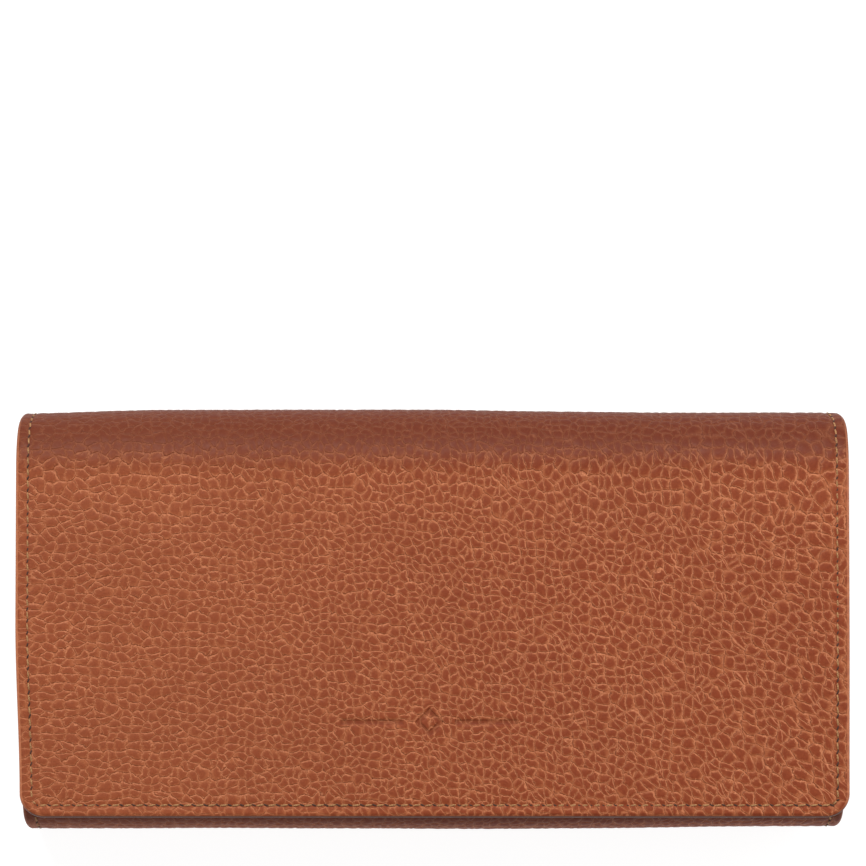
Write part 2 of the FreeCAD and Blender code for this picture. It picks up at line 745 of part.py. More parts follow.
make_back()
make_card_pockets()
make_top_fold()
make_flap()
make_front_wall()
make_bottom_fold()
make_coin_pocket()
make_zip()
make_slider()
make_puller()
make_snap()
make_gussets()
doc.recompute()

for item in doc.Objects:
    if {"Invalid", "Error"} & set(item.State):
        raise RuntimeError(f"{item.Name} failed: {item.State}")
for item in NODES:
    if item.Shape.isNull() or not item.Shape.isValid() or item.Shape.Volume <= 0:
        raise RuntimeError(f"{item.Label} has no valid shape")

os.makedirs("parts", exist_ok=True)
for item in NODES:
    item.Shape.exportStep(f"parts/{item.Label}.step")
print(len(NODES), "sub-parts")
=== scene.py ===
import math

import bmesh
import bpy
import numpy as np
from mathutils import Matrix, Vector


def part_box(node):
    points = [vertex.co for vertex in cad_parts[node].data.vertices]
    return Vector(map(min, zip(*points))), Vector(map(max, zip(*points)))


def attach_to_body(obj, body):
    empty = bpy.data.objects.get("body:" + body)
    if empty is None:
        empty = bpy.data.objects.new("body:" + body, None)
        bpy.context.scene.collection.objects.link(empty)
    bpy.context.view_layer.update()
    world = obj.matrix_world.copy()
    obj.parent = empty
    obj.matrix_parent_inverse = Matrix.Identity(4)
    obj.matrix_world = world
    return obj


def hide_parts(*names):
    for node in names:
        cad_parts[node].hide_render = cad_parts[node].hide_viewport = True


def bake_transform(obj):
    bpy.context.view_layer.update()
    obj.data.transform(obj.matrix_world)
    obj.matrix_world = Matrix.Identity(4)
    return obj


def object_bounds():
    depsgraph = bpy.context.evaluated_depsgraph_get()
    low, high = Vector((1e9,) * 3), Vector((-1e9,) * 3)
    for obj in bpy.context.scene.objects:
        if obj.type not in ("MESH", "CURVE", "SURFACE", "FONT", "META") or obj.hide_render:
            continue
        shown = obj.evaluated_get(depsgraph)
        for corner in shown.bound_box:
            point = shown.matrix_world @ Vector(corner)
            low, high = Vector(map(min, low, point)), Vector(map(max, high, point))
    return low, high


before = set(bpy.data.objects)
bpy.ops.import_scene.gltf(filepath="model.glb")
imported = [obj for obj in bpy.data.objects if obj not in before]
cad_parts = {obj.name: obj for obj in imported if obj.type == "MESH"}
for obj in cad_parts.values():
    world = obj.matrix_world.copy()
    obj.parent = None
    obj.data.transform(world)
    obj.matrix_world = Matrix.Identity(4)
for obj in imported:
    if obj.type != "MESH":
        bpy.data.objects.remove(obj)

CAD_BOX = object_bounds()
MM = 0.001

# ---------------------------------------------------------------- sizes, read from the frame

LOW, HIGH = CAD_BOX
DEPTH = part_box("flap_leather")[1].z
BODY_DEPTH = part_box("front_leather")[1].z
FLAP_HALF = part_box("flap_leather")[1].x
BODY_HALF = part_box("back_leather")[1].x
FLAP_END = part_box("flap_leather")[0].y
FRONT_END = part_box("front_leather")[1].y
TOP_R = DEPTH / 2
TOP_Y = HIGH.y - TOP_R
LOW_R = BODY_DEPTH / 2
LOW_Y = LOW.y + LOW_R

# The wrap of leather as one long sheet: s runs from the flap's lower edge up the flap, over the
# top fold, down the back, round the bottom fold and up the front wall.
S_FOLD = TOP_Y - FLAP_END
S_BACK = S_FOLD + math.pi * TOP_R
S_LOW = S_BACK + TOP_Y - LOW_Y
S_FRONT = S_LOW + math.pi * LOW_R
S_END = S_FRONT + FRONT_END - LOW_Y

EDGE_R = 0.95 * MM
FLAP_CORNER = 5.5 * MM
FRONT_CORNER = 3.0 * MM
SEAM_INSET = 2.8 * MM
STITCH_PITCH = 2.75 * MM
# The bottom fold is pressed a little flatter than a half circle.
FLATTENED = 0.4 * MM


def smooth(value, low, high):
    """0 below low and 1 above high, with a soft step between."""
    share = np.clip((value - low) / (high - low), 0, 1)
    return share * share * (3 - 2 * share)


def half_width(s, side):
    """Half the sheet's width at s: the flap is a little wider than the body, and both folds are drawn in."""
    wide = FLAP_HALF - (FLAP_HALF - BODY_HALF) * smooth(s, S_BACK - TOP_R * math.pi / 4, S_BACK)
    wide = wide - np.where(side < 0, 1.15 * MM, 0.15 * MM) * (1 - smooth(s, 4 * MM, 45 * MM))
    low = smooth(s, S_LOW - 14 * MM, S_LOW + 4 * MM) * (1 - smooth(s, S_FRONT - 4 * MM, S_FRONT + 16 * MM))
    wide = wide - np.where(side < 0, 0.6 * MM, 0.25 * MM) * low
    top_pinch = np.exp(-((s - S_FOLD - TOP_R * math.pi / 2) / (5.5 * MM)) ** 2)
    low_pinch = np.exp(-((s - S_LOW - LOW_R * math.pi / 2) / (5.0 * MM)) ** 2)
    return wide - np.where(side < 0, 0.6 * MM, 1.1 * MM) * top_pinch - 0.6 * MM * low_pinch


def path(s):
    """The outer face's y and z at s, and its outward normal's."""
    s = np.asarray(s, float)
    turn = np.clip((s - S_FOLD) / TOP_R, 0, math.pi)
    under = np.clip((s - S_LOW) / LOW_R, 0, math.pi)
    y = np.where(s < S_FOLD, FLAP_END + s, TOP_Y + TOP_R * np.sin(turn))
    z = TOP_R + TOP_R * np.cos(turn)
    ny, nz = np.sin(turn), np.cos(turn)
    back = s > S_BACK
    y = np.where(back, TOP_Y - (s - S_BACK), y)
    low = s > S_LOW
    y = np.where(low, LOW_Y - (LOW_R - FLATTENED) * np.sin(under), y)
    z = np.where(low, LOW_R - LOW_R * np.cos(under), z)
    ny = np.where(low, -np.sin(under), ny)
    nz = np.where(low, -np.cos(under), nz)
    front = s > S_FRONT
    y = np.where(front, LOW_Y + (s - S_FRONT), y)
    return y, z, ny, nz


def bow(x):
    """How far the top fold sinks towards its ends."""
    left = 0.9 * MM * (1 - smooth(x, -95 * MM, -58 * MM))
    right = 0.7 * MM * smooth(x, -15 * MM, 55 * MM)
    return left + right


def wrap(x, s, depth):
    """The sheet's points in the frame: depth is measured inwards from the outer face."""
    y, z, ny, nz = path(s)
    crown = np.sin(np.clip((np.asarray(s) - S_FOLD) / TOP_R, 0, math.pi))
    belly = np.sin(np.clip((np.asarray(s) - S_LOW) / LOW_R, 0, math.pi))
    y = y - ny * depth - bow(x) * crown + 0.5 * MM * smooth(x, 15 * MM, 95 * MM) * belly
    z = z - nz * depth
    return np.stack([x, y, z], -1)


# ---------------------------------------------------------------- meshes


def add_object(name, data):
    """A new object in the scene."""
    item = bpy.data.objects.new(name, data)
    bpy.context.scene.collection.objects.link(item)
    return item


def baked(item):
    """The object's shape as a mesh, its modifiers applied."""
    graph = bpy.context.evaluated_depsgraph_get()
    return bpy.data.meshes.new_from_object(item.evaluated_get(graph))


def grid_quads(index):
    """Quads over a grid of point numbers."""
    corners = [index[:-1, :-1], index[:-1, 1:], index[1:, 1:], index[1:, :-1]]
    return np.stack(corners, -1).reshape(-1, 4)


def eased(count):
    """Steps from 0 to 1 along a quarter turn, close together at first."""
    return 1 - np.cos(np.linspace(0, math.pi / 2, count))


def arc(centre, radius, start, stop, count=6):
    """Points along an arc between two angles, in degrees."""
    angles = np.radians(np.linspace(start, stop, count))
    return [(centre[0] + radius * math.cos(a), centre[1] + radius * math.sin(a)) for a in angles]


def make_mesh(name, points, faces, sheet, material):
    """A smooth-shaded object from points, faces and each point's place on the sheet."""
    mesh = bpy.data.meshes.new(name)
    mesh.from_pydata([tuple(p) for p in points], [], faces)
    mesh.validate()
    mesh.shade_smooth()
    if sheet is not None:
        spot = mesh.attributes.new("hide", "FLOAT_VECTOR", "POINT")
        spot.data.foreach_set("vector", np.asarray(sheet, np.float32).ravel())
    mesh.materials.append(material)
    return add_object(name, mesh)


MARK_X = -0.7 * MM
MARK_S = 21.6 * MM
MARK_DEPTH = 0.13 * MM
# The next five are in mm: a bar's far and near end, half its width, the lozenge and half its line.
BAR_FAR = 20
BAR_NEAR = 6
BAR_HALF = 0.45
LOZENGE = 2.6
LOZENGE_HALF = 0.55


def mark_depth(x, s):
    """How deep the small pressed mark is: a lozenge between two bars."""
    across, up = np.abs(x - MARK_X), np.abs(s - MARK_S)
    bar = np.maximum(up - BAR_HALF * MM, np.maximum(across - BAR_FAR * MM, BAR_NEAR * MM - across))
    lozenge = np.abs(across + up - LOZENGE * MM) - LOZENGE_HALF * MM
    return MARK_DEPTH * (1 - smooth(np.minimum(bar, lozenge), 0, 0.4 * MM))


def relief(x, s, seams):
    """Height of the outer face's soft shapes: the seam's channel, the pressed margin and slow waves."""
    height = 0.10 * MM * np.sin(x / (23 * MM) + 1.3 * np.sin(s / (31 * MM))) * np.sin(s / (17 * MM) + 0.8)
    height += 0.05 * MM * np.sin(x / (9 * MM) + s / (13 * MM)) * np.sin(s / (7 * MM) - x / (19 * MM))
    for distance in seams(x, s):
        height -= 0.17 * MM * np.exp(-(distance / (0.45 * MM)) ** 2)
        height -= 0.05 * MM * np.exp(-(distance / (1.3 * MM)) ** 2)
    return height - mark_depth(x, s)


def grain_strength(x, s, start, stop, rolled):
    """How strong the grain stands: pressed flat outside the seams and in the pressed mark."""
    side = np.where(x < 0, -1, 1)
    margin = half_width(s, side) - np.abs(x)
    if rolled == "start":
        margin = np.minimum(margin, s - start)
    elif rolled == "stop":
        margin = np.minimum(margin, stop - s)
    pressed = np.where(x < 0, 0.55, 0.30)
    strength = 1 - pressed * (1 - smooth(margin, SEAM_INSET - 0.8 * MM, SEAM_INSET + 1.6 * MM))
    return strength * (1 - 0.6 * mark_depth(x, s) / MARK_DEPTH)


def side_seams(x, s):
    """Distance to the seams that run up both sides."""
    side = np.where(x < 0, -1, 1)
    return [np.abs(np.abs(x) - (half_width(s, side) - SEAM_INSET))]


def flap_seams(x, s):
    """Distance to the flap's seam along its sides and its lower edge."""
    side = np.where(x < 0, -1, 1)
    across = np.abs(np.abs(x) - (half_width(s, side) - SEAM_INSET))
    across = np.where(s > SEAM_INSET, across, 1)
    along = np.abs(s - SEAM_INSET)
    along = np.where(np.abs(x) < half_width(s, side) - SEAM_INSET, along, 1)
    return [np.minimum(across, along)]


def front_seams(x, s):
    """Distance to the front wall's seam along its sides and its upper edge."""
    across = np.where(S_END - s > SEAM_INSET, np.abs(np.abs(x) - (BODY_HALF - SEAM_INSET)), 1)
    along = np.where(np.abs(x) < BODY_HALF - SEAM_INSET, np.abs(S_END - s - SEAM_INSET), 1)
    return [np.minimum(across, along)]


def rounded(p, q):
    """A unit square's corner rounded into a quarter disc."""
    return p * np.sqrt(1 - q * q / 2), q * np.sqrt(1 - p * p / 2)


def leather_shell(name, start, stop, step, seams, material, rolled, corner):
    """A closed skin over part of the wrap, its sides rolled under; rolled says which end is an edge too."""
    inset_start = EDGE_R if rolled == "start" else 0.0
    inset_stop = EDGE_R if rolled == "stop" else 0.0
    cols = max(3, round(2 * FLAP_HALF / step) + 1)
    rows = max(3, round((stop - start) / step) + 1)
    share = np.linspace(-1, 1, cols)
    s = np.linspace(start + inset_start, stop - inset_stop, rows)
    grid_s, grid_share = np.meshgrid(s, share, indexing="ij")
    side = np.where(grid_share < 0, -1, 1)
    grid_x = grid_share * (half_width(grid_s, side) - EDGE_R)
    out_x = np.zeros_like(grid_x)
    out_s = np.zeros_like(grid_x)
    out_x[:, 0], out_x[:, -1] = -1, 1
    if rolled:
        at_start = rolled == "start"
        end_row = 0 if at_start else -1
        away = grid_s - s[0] if at_start else s[-1] - grid_s
        radius = corner - EDGE_R
        inner = half_width(grid_s, side) - EDGE_R - radius
        p = np.clip((np.abs(grid_x) - inner) / radius, 0, 1)
        q = np.clip((radius - away) / radius, 0, 1)
        round_p, round_q = rounded(p, q)
        near = (p > 0) & (q > 0)
        grid_x = np.where(near, side * (inner + radius * round_p), grid_x)
        shift = radius * (q - round_q)
        grid_s = np.where(near, grid_s + (shift if at_start else -shift), grid_s)
        towards = -1 if at_start else 1
        out_s[end_row, :] = towards
        length = np.maximum(np.hypot(round_p, round_q), 1e-9)
        out_x = np.where(near, side * round_p / length, out_x)
        out_s = np.where(near, towards * round_q / length, out_s)
        out_x[end_row, :] = np.where(p[end_row] > 0, out_x[end_row], 0)
    top = relief(grid_x, grid_s, seams)
    points = [wrap(grid_x, grid_s, -top).reshape(-1, 3)]
    strength = grain_strength(grid_x, grid_s, start, stop, rolled)
    sheet = [np.stack([grid_x, grid_s, strength], -1).reshape(-1, 3)]
    index = np.arange(rows * cols).reshape(rows, cols)
    faces = grid_quads(index).tolist()
    # The edge runs down the left side, along the rolled end, if any, and up the right side.
    if rolled == "start":
        rim = np.concatenate([index[:0:-1, 0], index[0, :], index[1:, -1]])
    elif rolled == "stop":
        rim = np.concatenate([index[:-1, -1], index[-1, ::-1], index[-2::-1, 0]])
    rims = [rim] if rolled else [index[::-1, 0], index[:, -1]]
    rolls = 9
    last_rings = []
    count = rows * cols
    for edge in rims:
        grids = (grid_x, grid_s, out_x, out_s, top)
        rim_x, rim_s, to_x, to_s, lift = [values.reshape(-1)[edge] for values in grids]
        previous = edge
        for ring in range(1, rolls + 1):
            angle = math.pi * ring / rolls
            x = rim_x + to_x * EDGE_R * math.sin(angle)
            along = rim_s + to_s * EDGE_R * math.sin(angle)
            depth = EDGE_R * (1 - math.cos(angle)) - lift * (1 + math.cos(angle)) / 2
            points.append(wrap(x, along, depth))
            sheet.append(np.stack([rim_x + to_x * EDGE_R * angle,
                                   rim_s + to_s * EDGE_R * angle, 0 * x - ring / rolls], -1))
            following = np.arange(count, count + len(edge))
            count += len(edge)
            strip = np.stack([previous[:-1], following[:-1], following[1:], previous[1:]], -1)
            faces += strip.tolist()
            previous = following
        last_rings.append(previous)
    if rolled:
        under = last_rings[0]
        sides = rows - 1
        left, right = under[:sides + 1], under[::-1][:sides + 1]
        for k in range(sides - 1):
            faces.append([int(left[k]), int(right[k]), int(right[k + 1]), int(left[k + 1])])
        faces.append([int(v) for v in under[sides - 1: len(under) - sides + 1]][::-1])
    else:
        left, right = last_rings[0][::-1], last_rings[1]
        lanes = 12
        columns = [left]
        for lane in range(1, lanes):
            share = lane / lanes
            placed = np.concatenate(points)
            rows_x = placed[left][:, 0] * (1 - share) + placed[right][:, 0] * share
            points.append(wrap(rows_x, s, 2 * EDGE_R))
            sheet.append(np.stack([rows_x, s, 0 * s - 1], -1))
            columns.append(np.arange(count, count + rows))
            count += rows
        columns.append(right)
        for a, b in zip(columns[:-1], columns[1:]):
            faces += np.stack([a[:-1], a[1:], b[1:], b[:-1]], -1).tolist()
    item = make_mesh(name, np.concatenate(points), faces, np.concatenate(sheet), material)
    raise_grain(item)
    return item


# ---------------------------------------------------------------- materials

class Nodes:
    """Short ways to add and link nodes in a tree."""

    def __init__(self, name, tree=None):
        self.tree = tree
        if tree is None:
            self.material = bpy.data.materials.new(name)
            self.material.use_nodes = True
            self.tree = self.material.node_tree
            self.shader = self.tree.nodes["Principled BSDF"]

    def add(self, kind, inputs=None, **settings):
        item = self.tree.nodes.new(kind)
        for key, value in settings.items():
            setattr(item, key, value)
        for key, value in (inputs or {}).items():
            self.feed(item.inputs[key], value)
        return item

    def feed(self, socket, value):
        if isinstance(value, bpy.types.NodeSocket):
            self.tree.links.new(value, socket)
        else:
            socket.default_value = value

    def math(self, operation, a, b=0.0):
        return self.add("ShaderNodeMath", {0: a, 1: b}, operation=operation).outputs[0]

    def times(self, a, b):
        return self.math("MULTIPLY", a, b)

    def sum(self, *terms):
        """Adds up terms, each a socket and its factor."""
        total = 0.0
        for socket, factor in terms:
            total = self.add("ShaderNodeMath", {0: socket, 1: factor, 2: total},
                             operation="MULTIPLY_ADD").outputs[0]
        return total

    def vector(self, operation, a, b=(0, 0, 0)):
        return self.add("ShaderNodeVectorMath", {0: a, 1: b}, operation=operation).outputs[0]

    def scaled(self, a, factor):
        item = self.add("ShaderNodeVectorMath", {0: a}, operation="SCALE")
        item.inputs["Scale"].default_value = factor
        return item.outputs[0]

    def split(self, a):
        return self.add("ShaderNodeSeparateXYZ", {0: a}).outputs

    def join(self, x, y):
        return self.add("ShaderNodeCombineXYZ", {0: x, 1: y}).outputs[0]

    def step(self, value, low, high, to_low=0.0, to_high=1.0):
        """value from low to high becomes to_low to to_high, with soft ends."""
        inputs = {"Value": value, "From Min": low, "From Max": high, "To Min": to_low, "To Max": to_high}
        return self.add("ShaderNodeMapRange", inputs, interpolation_type="SMOOTHSTEP").outputs[0]

    def noise(self, place, scale, detail=3.0, roughness=0.55):
        inputs = {"Vector": place, "Scale": scale, "Detail": detail, "Roughness": roughness}
        return self.add("ShaderNodeTexNoise", inputs)

    def cells(self, place, scale, feature="DISTANCE_TO_EDGE", randomness=1.0):
        inputs = {"Vector": place, "Scale": scale, "Randomness": randomness}
        item = self.add("ShaderNodeTexVoronoi", inputs, feature=feature, voronoi_dimensions="2D")
        return item.outputs["Distance"]

    def mix(self, share, a, b):
        item = self.add("ShaderNodeMix", data_type="RGBA")
        sockets = {s.identifier: s for s in item.inputs}
        self.feed(sockets["Factor_Float"], share)
        self.feed(sockets["A_Color"], a)
        self.feed(sockets["B_Color"], b)
        return next(s for s in item.outputs if s.identifier == "Result_Color")

    def finish(self, color=None, roughness=None, height=None, bump=1.0, reach=MM, **uniform):
        for key, value in uniform.items():
            self.shader.inputs[key.replace("_", " ")].default_value = value
        if color is not None:
            self.feed(self.shader.inputs["Base Color"], color)
        if roughness is not None:
            self.feed(self.shader.inputs["Roughness"], roughness)
        if height is not None:
            inputs = {"Strength": bump, "Distance": reach, "Height": height}
            normal = self.add("ShaderNodeBump", inputs).outputs["Normal"]
            self.feed(self.shader.inputs["Normal"], normal)
        return self.material


def laid_out(n, place):
    """The sheet's x and s in mm, bent so that pebbles grow to the right and stretch below the top fold."""
    x, s, _ = n.split(n.scaled(place, 1000))
    square = n.times(x, x)
    wide = n.times(x, n.sum((square, -0.0000115), (0.98, 1.0)))
    lean = n.times(x, n.sum((x, 0.0010), (s, -0.0013), (0.16, 1.0)))
    drawn = n.times(n.times(square, s), -0.0000115)
    high = n.sum((s, 1.00), (n.step(s, 66.0, 96.0), -5.0), (lean, 1.0), (drawn, 1.0))
    flat = n.join(wide, high)
    wander = n.vector("SUBTRACT", n.noise(flat, 0.16, 2.0).outputs["Color"], (0.5, 0.5, 0.5))
    ripple = n.vector("SUBTRACT", n.noise(flat, 0.75, 2.0).outputs["Color"], (0.5, 0.5, 0.5))
    return n.vector("ADD", n.vector("ADD", flat, n.scaled(wander, 3.4)), n.scaled(ripple, 1.0)), s


def pebbles(n, flat):
    """The grain: how far a place is from a crease and from its pebble's middle, and the long creases."""
    edge = n.cells(flat, PEBBLES_PER_MM, randomness=PEBBLE_RANDOMNESS)
    core = n.cells(flat, PEBBLES_PER_MM, feature="F1", randomness=PEBBLE_RANDOMNESS)
    turned = n.add("ShaderNodeVectorRotate", {"Vector": flat, "Angle": math.radians(48)}).outputs[0]
    across = n.split(turned)[1]
    drift = n.noise(flat, 0.055, 2.0).outputs["Fac"]
    lane = n.sum((across, 1 / LONG_CREASE_GAP), (drift, 2.2))
    lane = n.math("ABSOLUTE", n.math("SUBTRACT", n.math("FRACT", lane), 0.5))
    broken = n.noise(n.vector("MULTIPLY", turned, (0.10, 0.25, 0)), 1.0, 2.0).outputs["Fac"]
    long = n.times(n.step(lane, 0.040, 0.0), n.step(broken, 0.50, 0.62))
    return edge, core, long


PEBBLES_PER_MM = 0.52
PEBBLE_RANDOMNESS = 0.80
LONG_CREASE_GAP = 4.4
GRAIN_HEIGHT = 0.12 * MM


def raise_grain(item):
    """Raises the pebbles in the mesh itself, with the pattern that the leather's colour follows."""
    tree = bpy.data.node_groups.new("grain", "GeometryNodeTree")
    tree.interface.new_socket("Geometry", in_out="INPUT", socket_type="NodeSocketGeometry")
    tree.interface.new_socket("Geometry", in_out="OUTPUT", socket_type="NodeSocketGeometry")
    n = Nodes("grain", tree)
    named = n.add("GeometryNodeInputNamedAttribute", {"Name": "hide"}, data_type="FLOAT_VECTOR")
    place = named.outputs["Attribute"]
    flat, _ = laid_out(n, place)
    edge, core, long = pebbles(n, flat)
    strength = n.math("MAXIMUM", n.split(place)[2], 0.0)
    side = n.step(edge, 0.0, 0.24)
    dome = n.step(core, 0.66, 0.05)
    rise = n.sum((side, 0.62), (dome, 0.50), (long, -0.25), (1.0, -0.5))
    rise = n.times(n.times(rise, strength), GRAIN_HEIGHT)
    normal = n.add("GeometryNodeInputNormal").outputs[0]
    offset = n.add("ShaderNodeVectorMath", {0: normal, "Scale": rise}, operation="SCALE").outputs[0]
    moved = n.add("GeometryNodeSetPosition", {"Offset": offset})
    start = n.add("NodeGroupInput").outputs[0]
    n.feed(moved.inputs["Geometry"], start)
    n.feed(n.add("NodeGroupOutput").inputs[0], moved.outputs[0])
    modifier = item.modifiers.new("grain", "NODES")
    modifier.node_group = tree
    raised = baked(item)
    item.modifiers.clear()
    plain = item.data
    item.data = raised
    bpy.data.meshes.remove(plain)
    bpy.data.node_groups.remove(tree)


def pressed_mark(n, x, s):
    """1 inside the pressed mark: a lozenge between two bars."""
    across = n.math("ABSOLUTE", n.math("SUBTRACT", x, MARK_X / MM))
    up = n.math("ABSOLUTE", n.math("SUBTRACT", s, MARK_S / MM))
    ends = n.math("MAXIMUM", n.math("SUBTRACT", across, BAR_FAR), n.math("SUBTRACT", BAR_NEAR, across))
    bar = n.math("MAXIMUM", n.math("SUBTRACT", up, BAR_HALF), ends)
    ring = n.math("ABSOLUTE", n.math("SUBTRACT", n.math("ADD", across, up), LOZENGE))
    return n.step(n.math("MINIMUM", bar, n.math("SUBTRACT", ring, LOZENGE_HALF)), 0.22, -0.08)


def pebbled_leather(name, cell, band, pale, deep, paint):
    """Tumbled leather: dark pebbles with pale creases, their sides given a painted highlight towards the
    light and painted shade below; its rim is painted.
    """
    n = Nodes(name)
    place = n.add("ShaderNodeAttribute", attribute_name="hide").outputs["Vector"]
    flat, s = laid_out(n, place)
    x = n.split(n.scaled(place, 1000))[0]
    edge, core, long = pebbles(n, flat)
    uneven = n.noise(flat, 1.3, 4.0, 0.65).outputs["Fac"]
    pores = n.noise(flat, 3.2, 4.0, 0.7).outputs["Fac"]
    patch = n.noise(flat, 0.23, 2.0).outputs["Fac"]
    strength = n.math("MAXIMUM", n.split(place)[2], 0.0)
    top = n.times(n.step(edge, 0.05, 0.22), n.step(core, 0.68, 0.34))
    top = n.times(top, n.step(uneven, 0.2, 0.55, 0.60, 1.0))
    top = n.times(top, n.step(x, -80.0, 30.0, 0.62, 1.0))
    color = n.mix(top, band, cell)
    color = n.mix(n.step(pores, 0.32, 0.62, 0.32, 0.0), color, deep)
    # A pebble's side is pale where it faces the light, up the sheet and to its right, and dark below.
    reach = n.join(n.step(x, -60.0, 70.0, 0.0, 0.14), n.step(x, -30.0, 70.0, 0.12, 0.07))
    ahead = n.cells(n.vector("ADD", flat, reach), PEBBLES_PER_MM, randomness=PEBBLE_RANDOMNESS)
    behind = n.cells(n.vector("SUBTRACT", flat, reach), PEBBLES_PER_MM, randomness=PEBBLE_RANDOMNESS)
    slope = n.math("SUBTRACT", behind, ahead)
    lit = n.times(n.step(slope, 0.01, 0.10), n.step(edge, 0.10, 0.015))
    lit = n.times(lit, n.step(uneven, 0.36, 0.58, 0.10, 1.0))
    seam = n.times(n.step(edge, 0.035, 0.0), n.step(uneven, 0.42, 0.60, 0.0, 0.60))
    fine = n.cells(n.vector("ADD", flat, (37.0, 11.0, 0)), 1.05)
    fine = n.times(n.step(fine, 0.065, 0.0), n.step(edge, 0.26, 0.10))
    fine = n.times(fine, n.step(patch, 0.35, 0.60, 0.30, 0.90))
    sweep = n.times(long, n.step(x, -50.0, 50.0, 0.05, 0.75))
    lines = n.math("MAXIMUM", n.math("MAXIMUM", lit, seam), n.math("MAXIMUM", fine, sweep))
    color = n.mix(n.times(lines, n.step(strength, 0.2, 0.9, 0.55, 1.0)), color, pale)
    shade = n.times(n.step(slope, -0.02, -0.10), n.step(edge, 0.12, 0.02))
    shade = n.times(shade, n.step(patch, 0.30, 0.60, 0.50, 0.95))
    color = n.mix(shade, color, deep)
    cloud = n.noise(flat, 0.03, 3.0).outputs["Fac"]
    color = n.mix(n.step(cloud, 0.35, 0.65, 0.0, 0.08), color, deep)
    mark = pressed_mark(n, x, s)
    color = n.mix(n.times(mark, MARK_SHADE), color, deep)
    # Over the top fold the colour is darker and redder: painted shade where the fold turns away from the
    # light.
    fold, back, front = S_FOLD / MM, S_BACK / MM, S_FRONT / MM
    fold_shade_band = n.math("MINIMUM", n.step(s, fold - 3, fold + 7), n.step(s, back, back - 9))
    color = n.mix(n.times(fold_shade_band, FOLD_SHADE), color, deep)
    # Below the fold a painted highlight band lightens the leather.
    fold_highlight = n.times(n.step(s, fold - 19, fold - 7), n.step(s, fold, fold - 5))
    color = n.mix(n.times(fold_highlight, FOLD_HIGHLIGHT), color, pale)
    # Painted shadow: the bottom fold is darkened where the flap's edge overhangs it.
    flap_shadow = n.math("MINIMUM", n.step(s, front - 15, front - 9), n.step(s, front + 6, front))
    color = n.mix(n.times(flap_shadow, FLAP_SHADOW), color, deep)
    # The upper part of the side edges' rims gets a painted highlight, most on the flap; the edge paint covers
    # only their underside.
    rim_highlight = n.times(n.step(s, 1.0, 4.0, 0.0, 0.40), n.step(s, fold, fold + 20, 1.0, 0.25))
    rim_highlight = n.times(n.step(n.split(place)[2], -0.04, -0.16), rim_highlight)
    color = n.mix(rim_highlight, color, pale)
    bare = n.step(s, 1.0, 4.0, 0.16, 0.58)
    rim = n.step(n.math("ADD", n.split(place)[2], bare), 0.0, -0.14)
    color = n.mix(rim, color, paint)
    rough = n.step(uneven, 0.3, 0.75, 0.48, 0.64)
    rough = n.times(rough, n.step(rim, 0.0, 1.0, 1.0, 0.6))
    height = n.sum((n.step(edge, 0.0, 0.13), 0.085), (fine, -0.03), (long, -0.03),
                   (uneven, 0.04), (pores, 0.014))
    height = n.sum((n.times(height, strength), 1.0), (mark, -0.12))
    return n.finish(color, rough, height, bump=1.0, reach=MM, Specular_IOR_Level=0.13)


def thread_material(name, pale, dark):
    """Twisted waxed thread."""
    n = Nodes(name)
    place = n.add("ShaderNodeTexCoord").outputs["Object"]
    twist = n.noise(place, 5200.0, 2.0).outputs["Fac"]
    color = n.mix(n.step(twist, 0.35, 0.65), dark, pale)
    return n.finish(color, None, twist, 0.5, 0.1 * MM, Roughness=0.6, Specular_IOR_Level=0.3)


def smooth_leather(name, color, dark, on_sheet=False):
    """Fine smooth leather with faint pores, laid along the sheet or in the piece's own place."""
    n = Nodes(name)
    if on_sheet:
        place = n.add("ShaderNodeAttribute", attribute_name="hide").outputs["Vector"]
    else:
        place = n.add("ShaderNodeTexCoord").outputs["Object"]
    place = n.scaled(place, 1000)
    grain = n.add("ShaderNodeTexVoronoi", {"Vector": place, "Scale": 1.9}, feature="DISTANCE_TO_EDGE")
    pores = n.step(grain.outputs["Distance"], 0.0, 0.22)
    blotch = n.noise(place, 0.12, 4.0, 0.6).outputs["Fac"]
    tone = n.mix(n.step(blotch, 0.3, 0.75, 0.0, 0.45), color, dark)
    tone = n.mix(n.step(pores, 0.0, 1.0, 0.35, 0.0), tone, dark)
    height = n.sum((pores, 0.035), (n.noise(place, 0.6).outputs["Fac"], 0.05))
    rough = n.step(blotch, 0.3, 0.7, 0.42, 0.58)
    return n.finish(tone, rough, height, 1.0, MM, Specular_IOR_Level=0.3)


def woven_cloth(name, color, dark):
    """Fine twill cloth: slanting threads in two directions."""
    n = Nodes(name)
    place = n.scaled(n.add("ShaderNodeTexCoord").outputs["Object"], 1000)
    x, y, z = n.split(place)
    along = n.math("SINE", n.sum((x, 14.0), (y, 9.0), (z, 9.0)))
    cross = n.math("SINE", n.sum((y, 17.0), (z, 17.0), (x, -4.0)))
    weave = n.math("MAXIMUM", along, n.times(cross, 0.7))
    fuzz = n.noise(place, 2.0, 4.0, 0.7).outputs["Fac"]
    tone = n.mix(n.step(n.sum((weave, 0.5), (fuzz, 0.5)), -0.2, 0.75), dark, color)
    return n.finish(tone, None, weave, 0.7, 0.06 * MM,
                    Roughness=0.85, Specular_IOR_Level=0.2, Sheen_Weight=0.15)


def metal(name, color, rim_highlight, roughness):
    """Plated metal with fine brushing and slightly duller patches."""
    n = Nodes(name)
    place = n.scaled(n.add("ShaderNodeTexCoord").outputs["Object"], 1000)
    brushed = n.noise(n.vector("MULTIPLY", place, (0.8, 9.0, 9.0)), 1.0, 3.0).outputs["Fac"]
    blotch = n.noise(place, 0.5, 3.0).outputs["Fac"]
    tone = n.mix(n.step(blotch, 0.4, 0.75, 0.0, 0.5), color, rim_highlight)
    rough = n.step(brushed, 0.3, 0.7, roughness - 0.06, roughness + 0.12)
    return n.finish(tone, rough, brushed, 0.25, 0.02 * MM, Metallic=1.0)


